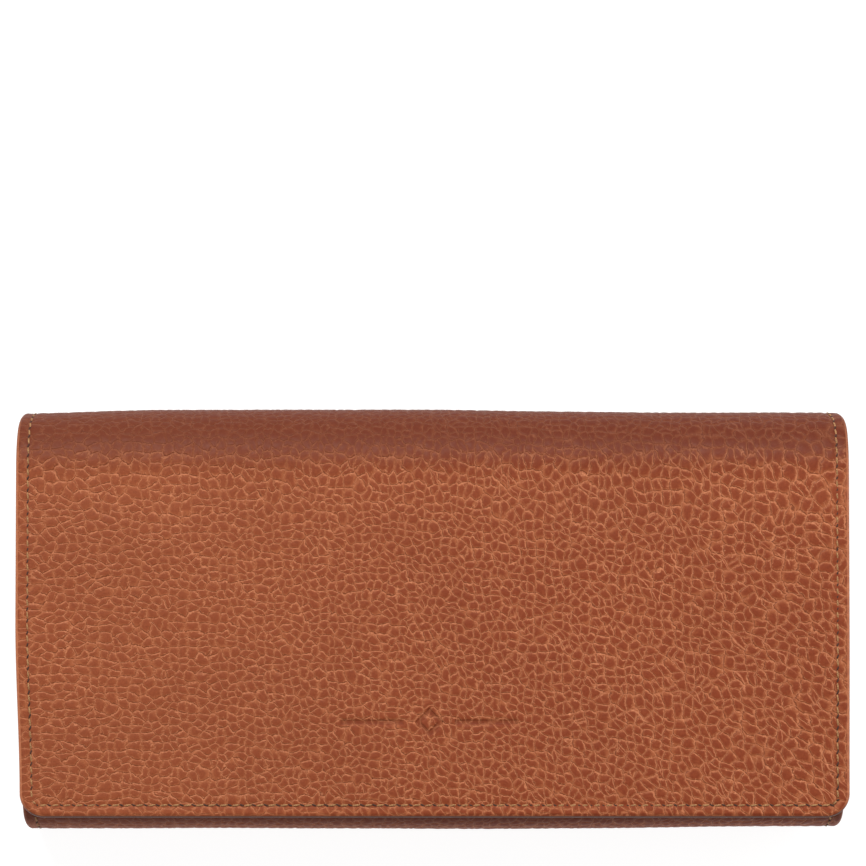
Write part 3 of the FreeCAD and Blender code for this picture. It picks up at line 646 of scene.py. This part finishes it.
def plain_material(name, color, roughness, **uniform):
    """One colour with a faint unevenness."""
    n = Nodes(name)
    place = n.add("ShaderNodeTexCoord").outputs["Object"]
    blotch = n.noise(place, 900.0, 3.0).outputs["Fac"]
    darker = tuple(0.75 * c for c in color[:3]) + (1,)
    return n.finish(n.mix(n.step(blotch, 0.35, 0.7), darker, color), None, None,
                    Roughness=roughness, **uniform)


COGNAC = (0.186, 0.035, 0.0110, 1)
RUSSET = (0.280, 0.079, 0.029, 1)
TAN = (0.500, 0.190, 0.090, 1)
UMBER = (0.075, 0.012, 0.004, 1)
EDGE_BROWN = (0.095, 0.036, 0.024, 1)
CHESTNUT = (0.180, 0.046, 0.018, 1)
CARAMEL = (0.235, 0.072, 0.030, 1)
FOLD_SHADE = 0.70
MARK_SHADE = 0.30
# Strength of the painted shadow under the flap's edge.
FLAP_SHADOW = 0.80
# Strength of the painted highlight band below the top fold.
FOLD_HIGHLIGHT = 0.02
leather = pebbled_leather("pebbled_leather", COGNAC, RUSSET, TAN, UMBER, EDGE_BROWN)
thread = thread_material("ochre_thread", (0.40, 0.205, 0.080, 1), (0.15, 0.062, 0.022, 1))
# Painted shadow: near-black colour for the beads at the needle holes.
hole_shadow = plain_material("needle_hole_shadow", (0.050, 0.017, 0.008, 1), 0.9)

# ---------------------------------------------------------------- the outer leather

GRAIN_STEP = {"flap_skin": 0.43 * MM}
COARSE_STEP = 0.6 * MM


def point_on(s):
    """A point of the outer face in the frame."""
    y, z, _, _ = path(s)
    return (0.0, float(y), float(z))


def top_s(angle):
    """s at a place on the top fold, in degrees from the back."""
    return S_BACK - math.radians(angle) * TOP_R


def low_s(angle):
    """s at a place on the bottom fold, in degrees from the back."""
    return S_LOW + math.radians(angle) * LOW_R


# name, first s, last s, body or the two bodies it lies between, seams, rolled end, corner, CAD nodes
SHELLS = [
    ("flap_skin", 0.0, S_FOLD, ["flap"], flap_seams, "start", FLAP_CORNER,
     ["flap_leather", "flap_board", "flap_thread"]),
    ("fold_skin_4", S_FOLD, top_s(135), ["flap", "spine_3"], side_seams, "", 0,
     ["spine_leather_3", "spine_padding_3", "spine_thread_3"]),
    ("fold_skin_3", top_s(135), top_s(90), ["spine_3", "spine_2"], side_seams, "", 0,
     ["spine_leather_2", "spine_padding_2", "spine_thread_2"]),
    ("fold_skin_2", top_s(90), top_s(45), ["spine_2", "spine_1"], side_seams, "", 0,
     ["spine_leather_1", "spine_padding_1", "spine_thread_1"]),
    ("fold_skin_1", top_s(45), S_BACK, ["spine_1", "back"], side_seams, "", 0, []),
    ("back_skin", S_BACK, S_LOW, ["back"], side_seams, "", 0,
     ["back_leather", "back_board", "back_thread"]),
    ("under_skin_1", S_LOW, low_s(90), ["back", "centre"], side_seams, "", 0,
     ["bottom_leather", "bottom_padding", "bottom_thread"]),
    ("under_skin_2", low_s(90), S_FRONT, ["centre", "front_wall"], side_seams, "", 0, []),
    ("front_skin", S_FRONT, S_END, ["front_wall"], front_seams, "stop", FRONT_CORNER,
     ["front_leather", "front_board", "front_thread"]),
]


def attach(item, bodies, start, stop):
    """Rides on one body; between two bodies it stays fixed in the frame, its transform baked into its mesh.
    """
    if len(bodies) == 1:
        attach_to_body(item, bodies[0])
    else:
        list(bodies)
        point_on(start)
        point_on(stop)
        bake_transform(item)


for name, start, stop, bodies, seams, rolled, corner, nodes in SHELLS:
    step = GRAIN_STEP.get(name, COARSE_STEP)
    skin = leather_shell(name, start, stop, step, seams, leather, rolled, corner)
    attach(skin, bodies, start, stop)
    if nodes:
        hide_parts(*nodes)

# ---------------------------------------------------------------- stitches


def stitch_piece(name, runs, surface):
    """Stitches, with dark beads of painted shadow at their needle holes, as one piece; a run's places on the
    surface are a stitch apart.
    """
    verts, faces, kinds = [], [], []
    for run in runs:
        for a, b in zip(run[:-1], run[1:]):
            a, b = np.array(a), np.array(b)
            length = np.linalg.norm(b - a)
            ahead = (b - a) / length
            aside = np.array([-ahead[1], ahead[0]])
            add_bead(verts, faces, kinds, (a + b) / 2, ahead + 0.12 * aside,
                     0.35 * length, 0.21 * MM, 0.0, 0, surface)
            # A dark bead of painted shadow where the thread dips into its needle hole.
            add_bead(verts, faces, kinds, b, ahead - 0.42 * aside,
                     0.24 * length, 0.17 * MM, 0.03 * MM, 1, surface)
    item = make_mesh(name, verts, faces, None, thread)
    item.data.materials.append(hole_shadow)
    item.data.polygons.foreach_set("material_index", kinds)
    return item


def add_bead(verts, faces, kinds, middle, ahead, half, radius, sunk, kind, surface):
    """One rounded bead on the sheet's face, along ahead."""
    ahead = ahead / np.linalg.norm(ahead)
    aside = np.array([-ahead[1], ahead[0]])
    sides, rings = 8, 9
    first = len(verts)
    for ring in range(rings):
        t = -1 + 2 * ring / (rings - 1)
        thick = radius * math.sqrt(max(0.0, 1 - abs(t) ** 3.2)) + 0.01 * MM
        drop = sunk + 0.22 * MM * t * t
        for k in range(sides):
            angle = 2 * math.pi * k / sides
            place = middle + ahead * half * t + aside * thick * math.cos(angle)
            depth = drop + 0.12 * MM - thick * math.sin(angle)
            verts.append(surface(place[0], place[1], depth))
    for ring in range(rings - 1):
        for k in range(sides):
            a = first + ring * sides + k
            b = first + ring * sides + (k + 1) % sides
            faces.append([a, b, b + sides, a + sides])
            kinds.append(kind)
    for start in (first, first + (rings - 1) * sides):
        ring = list(range(start, start + sides))
        faces.append(ring if start != first else ring[::-1])
        kinds.append(kind)


def stitches(name, runs, bodies, start, stop):
    """The stitches of one stretch of the wrap."""
    item = stitch_piece(name, runs, wrap)
    attach(item, bodies, start, stop)


def side_run(sign, first, last):
    """Places along a side seam, a stitch apart, between two s."""
    count = max(1, round((last - first) / STITCH_PITCH))
    run = []
    for s in np.linspace(first, last, count + 1):
        half = float(half_width(s, np.array(sign)))
        run.append((sign * (half - SEAM_INSET), float(s)))
    return run


for name, start, stop, bodies, seams, rolled, corner, nodes in SHELLS:
    first = start + (SEAM_INSET + 1.2 * MM if rolled == "start" else 0)
    last = stop - (SEAM_INSET + 1.2 * MM if rolled == "stop" else 0)
    runs = [side_run(-1, first, last), side_run(1, first, last)]
    if rolled:
        level = SEAM_INSET if rolled == "start" else S_END - SEAM_INSET
        left, right = runs[0], runs[1]
        corner_left = left[0] if rolled == "start" else left[-1]
        corner_right = right[0] if rolled == "start" else right[-1]
        inner = abs(corner_left[0]) - 1.3 * MM
        inner_right = abs(corner_right[0]) - 1.3 * MM
        count = round((inner + inner_right) / STITCH_PITCH)
        hem = [(float(x), level) for x in np.linspace(-inner, inner_right, count + 1)]
        runs.append([corner_left] + hem + [corner_right])
    stitches(name.replace("skin", "stitches"), runs, bodies, start, stop)

# ---------------------------------------------------------------- linings of the wrap

LINING_OUT = 1.85 * MM
LINING_IN = 2.2 * MM
LINING_EDGE = 0.45 * MM


def lining_strip(name, start, stop, bodies, nodes, rolled, corner):
    """A thin lining inside one stretch of the wrap, with the rounded corners of its free end."""
    first = start + (LINING_EDGE if rolled == "start" else 0)
    last = stop - (LINING_EDGE if rolled == "stop" else 0)
    rows = np.linspace(first, last, max(6, round((last - first) / (1.5 * MM))))
    if rolled:
        near = first + corner * eased(8) if rolled == "start" else last - corner * eased(8)
        rows = np.unique(np.concatenate([rows, near]))
    away = rows - first if rolled == "start" else last - rows
    cut = corner - np.sqrt(np.clip(corner ** 2 - np.clip(corner - away, 0, corner) ** 2, 0, None))
    cut = cut if rolled else 0 * rows
    half = [half_width(rows, np.array(side)) - LINING_EDGE - cut for side in (-1, 1)]
    cols = 61
    across = np.linspace(0, 1, cols)
    x = -half[0][:, None] * (1 - across) + half[1][:, None] * across
    s = np.repeat(rows[:, None], cols, 1)
    inner = wrap(x, s, LINING_IN + 0.03 * MM * np.sin(x / (4 * MM)) * np.sin(s / (5 * MM)))
    outer = wrap(x, s, LINING_OUT + 0 * x)
    points, faces = closed_layers(outer, inner)
    sheet = np.stack([x, s, 0.5 + 0 * x], -1).reshape(-1, 3)
    item = make_mesh(name, points, faces, np.concatenate([sheet, sheet]), lining_leather)
    attach(item, bodies, start, stop)
    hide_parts(*nodes)


def closed_layers(low, high):
    """Points and faces of a closed sheet between two grids of points."""
    rows, cols, _ = low.shape
    count = rows * cols
    index = np.arange(count).reshape(rows, cols)
    under = grid_quads(index)
    top = under[:, [0, 3, 2, 1]] + count
    rim = np.concatenate([index[0, :-1], index[:-1, -1], index[-1, :0:-1], index[::-1, 0]])
    following = np.roll(rim, -1)
    keep = rim != following
    rim, following = rim[keep], following[keep]
    wall = np.stack([rim, rim + count, following + count, following], -1)
    points = np.concatenate([low.reshape(-1, 3), high.reshape(-1, 3)])
    return points, top.tolist() + under.tolist() + wall.tolist()


LININGS = {
    "flap_skin": ["flap_lining"],
    "fold_skin_4": ["spine_lining_3"],
    "fold_skin_3": ["spine_lining_2"],
    "fold_skin_2": ["spine_lining_1"],
    "fold_skin_1": [],
    "back_skin": ["back_lining"],
    "under_skin_1": ["bottom_lining"],
    "under_skin_2": [],
    "front_skin": ["front_lining"],
}

lining_leather = smooth_leather("lining_leather", CARAMEL, CHESTNUT, on_sheet=True)
for name, start, stop, bodies, seams, rolled, corner, nodes in SHELLS:
    lining_strip(name.replace("skin", "lining"), start, stop, bodies, LININGS[name], rolled, corner)

# ---------------------------------------------------------------- flat panels inside

pocket_leather = smooth_leather("pocket_leather", (0.255, 0.070, 0.026, 1), (0.110, 0.026, 0.009, 1))
coin_cloth = woven_cloth("coin_cloth", (0.185, 0.105, 0.062, 1), (0.085, 0.042, 0.022, 1))
tape_cloth = woven_cloth("tape_cloth", (0.120, 0.052, 0.026, 1), (0.050, 0.019, 0.010, 1))


def hemmed_panel(name, node, body, corner, material, hem=0.0, sag=0.0):
    """A flat leather panel in its node's room, its upper edge rounded and creased below a hem."""
    low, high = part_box(node)
    thick = high.z - low.z
    rim = 0.42 * thick
    turn = np.linspace(0, math.pi, 7)
    profile = [(high.y - low.y, 0.0)]
    profile += [(8 * MM, 0.0), (rim, 0.0)]
    profile += [(rim - rim * math.sin(a), thick / 2 - thick / 2 * math.cos(a)) for a in turn[1:-1]]
    profile.append((rim, thick))
    if hem:
        profile += [(hem - 0.5 * MM, thick), (hem, thick - 0.16 * MM), (hem + 0.5 * MM, thick)]
    profile += [(8 * MM, thick), (high.y - low.y, thick)]
    stations = np.concatenate([
        low.x + corner * eased(7),
        np.linspace(low.x + corner, high.x - corner, 40)[1:-1],
        high.x - corner * eased(7)[::-1],
    ])
    points = []
    for x in stations:
        near = max(0.0, corner - min(x - low.x, high.x - x))
        drop = corner - math.sqrt(max(0.0, corner ** 2 - near ** 2))
        drop += sag * (1 - ((x - low.x) / (high.x - low.x) * 2 - 1) ** 2)
        for down, z in profile:
            fade = 1 - down / (high.y - low.y)
            points.append((x, high.y - down - drop * fade, low.z + z))
    faces = loft_faces(len(stations), len(profile))
    item = make_mesh(name, points, faces, None, material)
    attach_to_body(item, body)
    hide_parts(node)


def loft_faces(rings, sides):
    """Quads between rings of points, and a face over each end."""
    faces = []
    for ring in range(rings - 1):
        for k in range(sides):
            a = ring * sides + k
            b = ring * sides + (k + 1) % sides
            faces.append([a, a + sides, b + sides, b])
    faces.append(list(range(sides)))
    faces.append(list(range(rings * sides - 1, (rings - 1) * sides - 1, -1)))
    return faces


def flat_stitches(name, ends, level, facing, body):
    """Straight rows of stitches on a flat face at a level; each row runs between two places (x, y)."""
    def surface(x, y, depth):
        return np.array([x, y, level - facing * depth])

    runs = []
    for start, stop in ends:
        start, stop = np.array(start), np.array(stop)
        count = max(1, round(np.linalg.norm(stop - start) / STITCH_PITCH))
        runs.append([start + (stop - start) * k / count for k in range(count + 1)])
    item = stitch_piece(name, runs, surface)
    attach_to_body(item, body)


for row in range(1, 5):
    node = f"card_pocket_{row}"
    hemmed_panel(f"card_slot_{row}", node, "back", 3 * MM, pocket_leather,
                 hem=2.2 * MM, sag=0.25 * MM)
    low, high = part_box(node)
    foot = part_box(f"card_pocket_{row + 1}")[1].y if row < 4 else low.y
    flat_stitches(f"card_middle_stitches_{row}", [((0.0, foot + 1 * MM), (0.0, high.y - 1 * MM))],
                  high.z, 1, "back")
low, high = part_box("card_pocket_4")
side_x = high.x - 1.6 * MM
flat_stitches("card_side_stitches",
              [((-side_x, low.y + 1 * MM), (-side_x, high.y - 3 * MM)),
               ((side_x, low.y + 1 * MM), (side_x, high.y - 3 * MM))], high.z, 1, "back")

for side, facing in (("rear", -1), ("front", 1)):
    hemmed_panel(f"coin_{side}_panel", f"coin_{side}_wall", "centre", 1.5 * MM, pocket_leather)
    low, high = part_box(f"coin_{side}_wall")
    level = high.z if facing > 0 else low.z
    inset = 2.5 * MM
    flat_stitches(f"coin_{side}_stitches", [
        ((low.x + inset, low.y + inset), (low.x + inset, high.y - inset)),
        ((low.x + inset, high.y - inset), (high.x - inset, high.y - inset)),
        ((high.x - inset, high.y - inset), (high.x - inset, low.y + inset)),
    ], level, facing, "centre")


def make_coin_base():
    """The strip between the coin walls at the bottom fold, rounded below and shorter than the fold."""
    low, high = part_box("coin_base")
    bottom = low.y + 0.6 * MM
    deep = high.z - low.z
    middle = (low.z + high.z) / 2
    sides = 20
    end = 1.2 * MM
    stations = np.concatenate([low.x + end + end * eased(6),
                               np.linspace(low.x + 6 * MM, high.x - 6 * MM, 30),
                               high.x - end - end * eased(6)[::-1]])
    points = []
    for x in stations:
        inset = min(x - low.x, high.x - x) - end
        share = 0.7 + 0.3 * math.sqrt(max(0.0, 1 - (1 - min(1.0, inset / end)) ** 2))
        for k in range(sides):
            angle = 2 * math.pi * k / sides
            up, aside = math.sin(angle), math.cos(angle)
            square = 1 / max(abs(up), abs(aside)) ** 0.75
            y = (bottom + high.y) / 2 + (high.y - bottom) / 2 * up * square * share
            narrow = 0.84 if up < 0 else 1.0
            points.append((x, min(y, high.y), middle + deep / 2 * aside * square * share * narrow))
    item = make_mesh("coin_bottom_strip", points, loft_faces(len(stations), sides), None, pocket_leather)
    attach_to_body(item, "centre")
    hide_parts("coin_base")


make_coin_base()

# ---------------------------------------------------------------- gussets


def soft_gusset(node):
    """A V-folded side gusset whose valley is a soft round fold, leaning less at its top."""
    low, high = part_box(node)
    side = 1 if high.x > 0 else -1
    outer = max(abs(low.x), abs(high.x))
    valley = min(abs(low.x), abs(high.x))
    thick = 0.5 * MM
    middle = (low.z + high.z) / 2
    span = np.linspace(-1, 1, 25)
    reach = (1 - np.sqrt(span ** 2 + 0.02)) / (1 - math.sqrt(0.02))
    reach = np.clip(reach, 0, None)
    rows = np.linspace(low.y, high.y, 36)
    inner, outside = [], []
    for y in rows:
        up = (y - low.y) / (high.y - low.y)
        draw = 0.86 + 0.14 * (1 - up) + 0.02 * math.sin(up * 9)
        x = outer - (outer - valley - thick) * reach * draw
        z = middle + span * (high.z - low.z - thick) / 2
        slope = np.gradient(x) / np.gradient(z)
        norm = np.sqrt(1 + slope ** 2)
        inner.append(np.stack([side * (x - thick / 2 / norm), 0 * x + y, z + slope * thick / 2 / norm], -1))
        outside.append(np.stack([side * (x + thick / 2 / norm), 0 * x + y, z - slope * thick / 2 / norm], -1))
    pair = (np.array(inner), np.array(outside))
    points, faces = closed_layers(*(pair if side > 0 else pair[::-1]))
    points[:, 2] = np.clip(points[:, 2], low.z, high.z)
    points[:, 0] = np.clip(points[:, 0], min(low.x, high.x), max(low.x, high.x))
    item = make_mesh(node + "_fold", points, faces, None, pocket_leather)
    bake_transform(item)
    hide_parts(node)


for side in ("left", "right"):
    soft_gusset(f"gusset_rear_{side}")
    soft_gusset(f"gusset_front_{side}")

# ---------------------------------------------------------------- zip

brass = metal("brass", (0.66, 0.47, 0.20, 1), (0.38, 0.25, 0.09, 1), 0.30)
steel = metal("steel", (0.55, 0.55, 0.57, 1), (0.32, 0.32, 0.34, 1), 0.28)


def shaped(name, build, material, body, nodes, bevel, segments=2):
    """A piece built with bmesh and bevelled, with the bevel applied."""
    mesh = bpy.data.meshes.new(name)
    shape = bmesh.new()
    build(shape)
    bmesh.ops.recalc_face_normals(shape, faces=shape.faces)
    shape.to_mesh(mesh)
    shape.free()
    item = add_object(name, mesh)
    modifier = item.modifiers.new("bevel", "BEVEL")
    modifier.width = bevel
    modifier.segments = segments
    modifier.limit_method = "ANGLE"
    finished = baked(item)
    item.modifiers.clear()
    item.data = finished
    bpy.data.meshes.remove(mesh)
    item.data.materials.clear()
    item.data.materials.append(material)
    item.data.shade_smooth()
    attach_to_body(item, body)
    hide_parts(*nodes)


def add_prism(shape, outline, low, high, axis):
    """A prism over an outline of pairs; axis is the direction it is raised along, 0 to 2."""
    def place(pair, level):
        spot = list(pair)
        spot.insert(axis, level)
        return Vector(spot)
    under = [shape.verts.new(place(pair, low)) for pair in outline]
    over = [shape.verts.new(place(pair, high)) for pair in outline]
    count = len(outline)
    for k in range(count):
        shape.faces.new([under[k], under[(k + 1) % count], over[(k + 1) % count], over[k]])
    shape.faces.new(under[::-1])
    shape.faces.new(over)


def zip_teeth(side, facing):
    """A row of moulded teeth: each a waisted block with a rounded head towards the other row."""
    low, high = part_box(f"zip_teeth_{side}")
    pitch = 2 * MM
    long = 1.2 * MM
    count = round((high.x - low.x - long) / pitch) + 1
    root = low.z if facing > 0 else high.z

    def build(shape):
        for k in range(count):
            x = low.x + k * pitch + long / 2
            reach = (high.z - low.z) * facing
            outline = [(-0.50, 0.0), (-0.36, 0.45), (-0.50, 0.72), (-0.34, 1.0),
                       (0.34, 1.0), (0.50, 0.72), (0.36, 0.45), (0.50, 0.0)]
            spots = [(x + across * long, root + up * reach) for across, up in outline]
            add_prism(shape, spots, low.y, high.y, 1)

    shaped(f"zip_{side}_teeth", build, brass, "centre", [f"zip_teeth_{side}"], 0.14 * MM)


def zip_tape(side, facing):
    """A tape that turns down from the teeth onto the coin pocket's wall."""
    low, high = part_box(f"zip_tape_{side}")
    tape = 0.5 * MM
    outer, inner = (high.z, low.z) if facing > 0 else (low.z, high.z)
    level = high.y - tape
    bend_r = 0.9 * MM
    path_yz = [(high.y - tape / 2, inner)]
    for k in range(7):
        angle = k / 6 * math.pi / 2
        path_yz.append((level + tape / 2 - bend_r * (1 - math.cos(angle)),
                        outer - facing * (bend_r + tape * 0.4 - bend_r * math.sin(angle))))
    path_yz.append((low.y, outer - facing * tape * 0.4))
    path_yz = np.array(path_yz)
    ahead = np.gradient(path_yz, axis=0)
    ahead /= np.linalg.norm(ahead, axis=1)[:, None]
    aside = np.stack([-ahead[:, 1], ahead[:, 0]], -1) * tape * 0.38
    stations = np.linspace(low.x, high.x, 90)
    wave = 0.04 * MM * np.sin(stations / (3 * MM))
    grids = []
    for offset in (aside, -aside):
        y = path_yz[:, 0][None, :] + offset[:, 0][None, :] + wave[:, None]
        z = path_yz[:, 1][None, :] + offset[:, 1][None, :] + 0 * y
        x = np.repeat(stations[:, None], len(path_yz), 1)
        grids.append(np.stack([x, np.clip(y, low.y, high.y), np.clip(z, low.z, high.z)], -1))
    points, faces = closed_layers(*(grids if facing > 0 else grids[::-1]))
    item = make_mesh(f"zip_{side}_tape", points, faces, None, tape_cloth)
    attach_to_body(item, "centre")
    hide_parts(f"zip_tape_{side}")


for side, facing in (("rear", 1), ("front", -1)):
    zip_teeth(side, facing)
    zip_tape(side, -facing)


def build_slider(shape):
    """Two shield-shaped plates, their turned-in sides, the post between them and the bail."""
    low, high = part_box("zip_slider")
    middle = (low.x + high.x) / 2
    centre_z = (low.z + high.z) / 2
    half = (high.z - low.z) / 2
    length = high.x - low.x
    level = (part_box("zip_teeth_rear")[0].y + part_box("zip_teeth_rear")[1].y) / 2
    plate_in = 0.95 * MM
    plate_out = 1.75 * MM
    shield = [(-0.5, 0.62), (-0.42, 0.86), (-0.1, 1.0), (0.32, 1.0), (0.5, 0.7),
              (0.5, -0.7), (0.32, -1.0), (-0.1, -1.0), (-0.42, -0.86), (-0.5, -0.62)]
    outline = [(middle + along * length, centre_z + across * half) for along, across in shield]
    add_prism(shape, outline, level + plate_in, level + plate_out, 1)
    add_prism(shape, outline, level - plate_out, level - plate_in, 1)
    lip = 0.47 * MM
    wall = 0.42 * MM
    for sign in (-1, 1):
        first, last = middle - 0.1 * length, middle + 0.32 * length
        outer_z, inner_z = centre_z + sign * half, centre_z + sign * (half - wall)
        side = [(first, outer_z), (last, outer_z), (last, inner_z), (first, inner_z)]
        add_prism(shape, side, level + lip, level + plate_in, 1)
        add_prism(shape, side, level - plate_in, level - lip, 1)
    post = [(middle + 1 * MM, centre_z - 0.2 * MM), (middle + 3 * MM, centre_z - 0.2 * MM),
            (middle + 3 * MM, centre_z + 0.2 * MM), (middle + 1 * MM, centre_z + 0.2 * MM)]
    add_prism(shape, post, level - plate_in, level + plate_in, 1)
    # The bail is an arch over the pin.
    pin_y = level + plate_out + 1.25 * MM
    outer = high.y - pin_y
    arch = arc((middle, pin_y), outer, 0, 180, 13)
    inner_r = 0.72 * MM
    hole_ring = arc((middle, pin_y), inner_r, 180, 0, 13)
    base = level + plate_out
    legs = [(middle - outer, base), (middle - inner_r, base)]
    far_legs = [(middle + inner_r, base), (middle + outer, base)]
    outline = arch + legs + hole_ring + far_legs
    add_prism(shape, outline, centre_z - 0.7 * MM, centre_z + 0.7 * MM, 2)


shaped("slider_body", build_slider, brass, "slider", ["zip_slider"], 0.16 * MM)


def wire_loop(name, spots, radius, material, body, nodes):
    """A closed round wire through some places, with soft corners."""
    curve = bpy.data.curves.new(name, "CURVE")
    curve.dimensions = "3D"
    curve.bevel_depth = radius
    curve.bevel_resolution = 4
    spline = curve.splines.new("BEZIER")
    spline.bezier_points.add(len(spots) - 1)
    for point, spot in zip(spline.bezier_points, spots):
        point.co = spot
        point.handle_left_type = point.handle_right_type = "AUTO"
    spline.use_cyclic_u = True
    spline.resolution_u = 8
    loop = add_object(name, curve)
    mesh = baked(loop)
    bpy.data.objects.remove(loop)
    mesh.shade_smooth()
    mesh.materials.clear()
    mesh.materials.append(material)
    item = add_object(name, mesh)
    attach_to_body(item, body)
    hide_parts(*nodes)


def make_puller():
    """A wire link on the slider's pin, and a leather tab on its far bar."""
    low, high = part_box("puller_link")
    radius = 0.55 * MM
    y = (low.y + high.y) / 2
    z_low, z_high = low.z + radius, high.z - radius
    near, far = high.x - 0.6 * MM, low.x + radius
    corner = 0.9 * MM
    spots = []
    for cx, cz, start in ((near - corner, z_high - corner, 0), (far + corner, z_high - corner, 90),
                          (far + corner, z_low + corner, 180), (near - corner, z_low + corner, 270)):
        spots += [(x, y, z) for x, z in arc((cx, cz), corner, start, start + 90, 3)]
    wire_loop("puller_wire", spots, radius, brass, "puller", ["puller_link"])
    low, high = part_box("puller_tab")
    middle = (low.z + high.z) / 2
    wide = (high.z - low.z) / 2

    def build(shape):
        outline = [(high.x, middle - wide * 0.72), (high.x, middle + wide * 0.72),
                   (low.x + wide, middle + wide)]
        outline += arc((low.x + wide, middle), wide, 110, 250, 8)
        outline.append((low.x + wide, middle - wide))
        add_prism(shape, outline, low.y, high.y, 1)

    shaped("puller_leather", build, pocket_leather, "puller", ["puller_tab"], 0.35 * MM, 3)


make_puller()

# ---------------------------------------------------------------- snap


def turned_piece(name, profile, level, facing, material, body, nodes):
    """A round piece turned about the snap's axis; profile holds pairs of radius and height."""
    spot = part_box("snap_stud")
    centre_y = (spot[0].y + spot[1].y) / 2
    sides = 48
    points, faces = [], []
    for radius, height in profile:
        for k in range(sides):
            angle = 2 * math.pi * k / sides
            y = centre_y + radius * math.sin(angle)
            points.append((radius * math.cos(angle), y, level + facing * height))
    for ring in range(len(profile) - 1):
        for k in range(sides):
            a, b = ring * sides + k, ring * sides + (k + 1) % sides
            face = [a, b, b + sides, a + sides]
            faces.append(face if facing > 0 else face[::-1])
    last = list(range((len(profile) - 1) * sides, len(profile) * sides))
    first = list(range(sides))
    faces.append(last if facing > 0 else last[::-1])
    faces.append(first[::-1] if facing > 0 else first)
    item = make_mesh(name, points, faces, None, material)
    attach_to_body(item, body)
    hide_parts(*nodes)


def make_snap():
    """The socket in the flap's lining, with its rolled rim, and the stud on the front wall."""
    low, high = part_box("snap_socket")
    outer = high.x
    deep = high.z - low.z
    bore = 2.35 * MM
    rim = 0.5 * MM
    socket = [(outer, 0.0), (outer, 0.5 * MM)]
    socket += arc((outer - rim, deep - rim), rim, 0, 90)
    socket += [(outer - 1.3 * MM, deep - 0.25 * MM)]
    socket += arc((bore + 0.35 * MM, deep - 0.35 * MM), 0.35 * MM, 60, 180)
    socket += [(bore, 0.4 * MM), (0.3 * MM, 0.35 * MM)]
    turned_piece("snap_socket_ring", socket, high.z, -1, steel, "flap", ["snap_socket"])
    low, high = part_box("snap_stud")
    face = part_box("front_leather")[1].z
    rise = high.z - face
    base = high.x
    head = 1.95 * MM
    neck = 1.5 * MM
    stud = [(neck, -1.0 * MM), (base - 0.3 * MM, 0.0), (base, 0.12 * MM)]
    stud += arc((base - 0.3 * MM, 0.12 * MM), 0.3 * MM, 20, 90, 4)
    stud += [(2.6 * MM, 0.50 * MM), (neck, 0.62 * MM), (neck, 0.95 * MM)]
    stud += arc((head - 0.35 * MM, rise - 0.45 * MM), 0.38 * MM, -50, 90)
    stud += [(0.4 * MM, rise)]
    turned_piece("snap_stud_head", stud, face, 1, steel, "front_wall", ["snap_stud"])


make_snap()

# ---------------------------------------------------------------- CAD nodes that stay, with better materials

KEPT = {
    "coin_welt_left": pocket_leather,
    "coin_welt_right": pocket_leather,
    "coin_rear_lining": coin_cloth,
    "coin_front_lining": coin_cloth,
    "zip_stops": brass,
    "snap_cap": brass,
    "snap_spring": steel,
    "snap_washer": brass,
}
for node, material in KEPT.items():
    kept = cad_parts[node]
    for place in kept.material_slots:
        place.material = material

# ---------------------------------------------------------------- floor, lights, camera


FLOOR_HALF = 4.0
FLOOR_GLOW = 0.85
FLOOR_GAP = 0.25 * MM
SURROUND = 0.30


def make_floor():
    """A wide white floor just under the wallet, lit from below as well."""
    far = FLOOR_HALF
    corners = [(-far, -far, 0), (far, -far, 0), (far, far, 0), (-far, far, 0)]
    n = Nodes("pale_floor")
    material = n.finish(Base_Color=(0.25, 0.25, 0.25, 1), Roughness=0.9, Specular_IOR_Level=0.1,
                        Emission_Color=(1, 1, 1, 1), Emission_Strength=FLOOR_GLOW)
    floor = make_mesh("floor", corners, [[0, 1, 2, 3]], None, material)
    floor.location.z = LOW.z - FLOOR_GAP


def area_light(name, place, size, power):
    """A large soft white light facing the middle of the frame."""
    data = bpy.data.lights.new(name, "AREA")
    data.shape = "RECTANGLE"
    data.size, data.size_y = size
    data.energy = power
    lamp = add_object(name, data)
    lamp.location = place
    lamp.rotation_euler = (-Vector(place)).to_track_quat("-Z", "Y").to_euler()


def make_light():
    """A big soft light past the wallet's head, a weaker one to its left, and a white surround."""
    area_light("key", (-0.15, 0.95, 1.15), (0.9, 0.5), 26.2)
    area_light("fill", (-0.95, -0.30, 1.00), (0.7, 0.7), 6.0)
    area_light("side", (0.55, 0.05, 0.26), (0.5, 0.12), 1.6)
    world = bpy.data.worlds.new("surround")
    world.use_nodes = True
    colour, strength = world.node_tree.nodes["Background"].inputs[:2]
    colour.default_value = (1, 1, 1, 1)
    strength.default_value = SURROUND
    bpy.context.scene.world = world


CAMERA_RISE = 0.95
CAMERA_X = 0.00012
AIM_Y = 0.0425
SENSOR_MM = 36
FRAME_WIDTH = 0.1972


def make_camera():
    """Straight above the wallet, aimed a little past its middle."""
    data = bpy.data.cameras.new("camera")
    data.sensor_width = SENSOR_MM
    data.lens = SENSOR_MM * CAMERA_RISE / FRAME_WIDTH
    eye = Vector((CAMERA_X, 0.0, DEPTH + CAMERA_RISE))
    aim = Vector((CAMERA_X, AIM_Y, DEPTH))
    camera = add_object("camera", data)
    camera.location = eye
    camera.rotation_euler = (aim - eye).to_track_quat("-Z", "Y").to_euler()
    bpy.context.scene.camera = camera


make_floor()
make_light()
make_camera()
bpy.context.scene.view_settings.view_transform = "Standard"
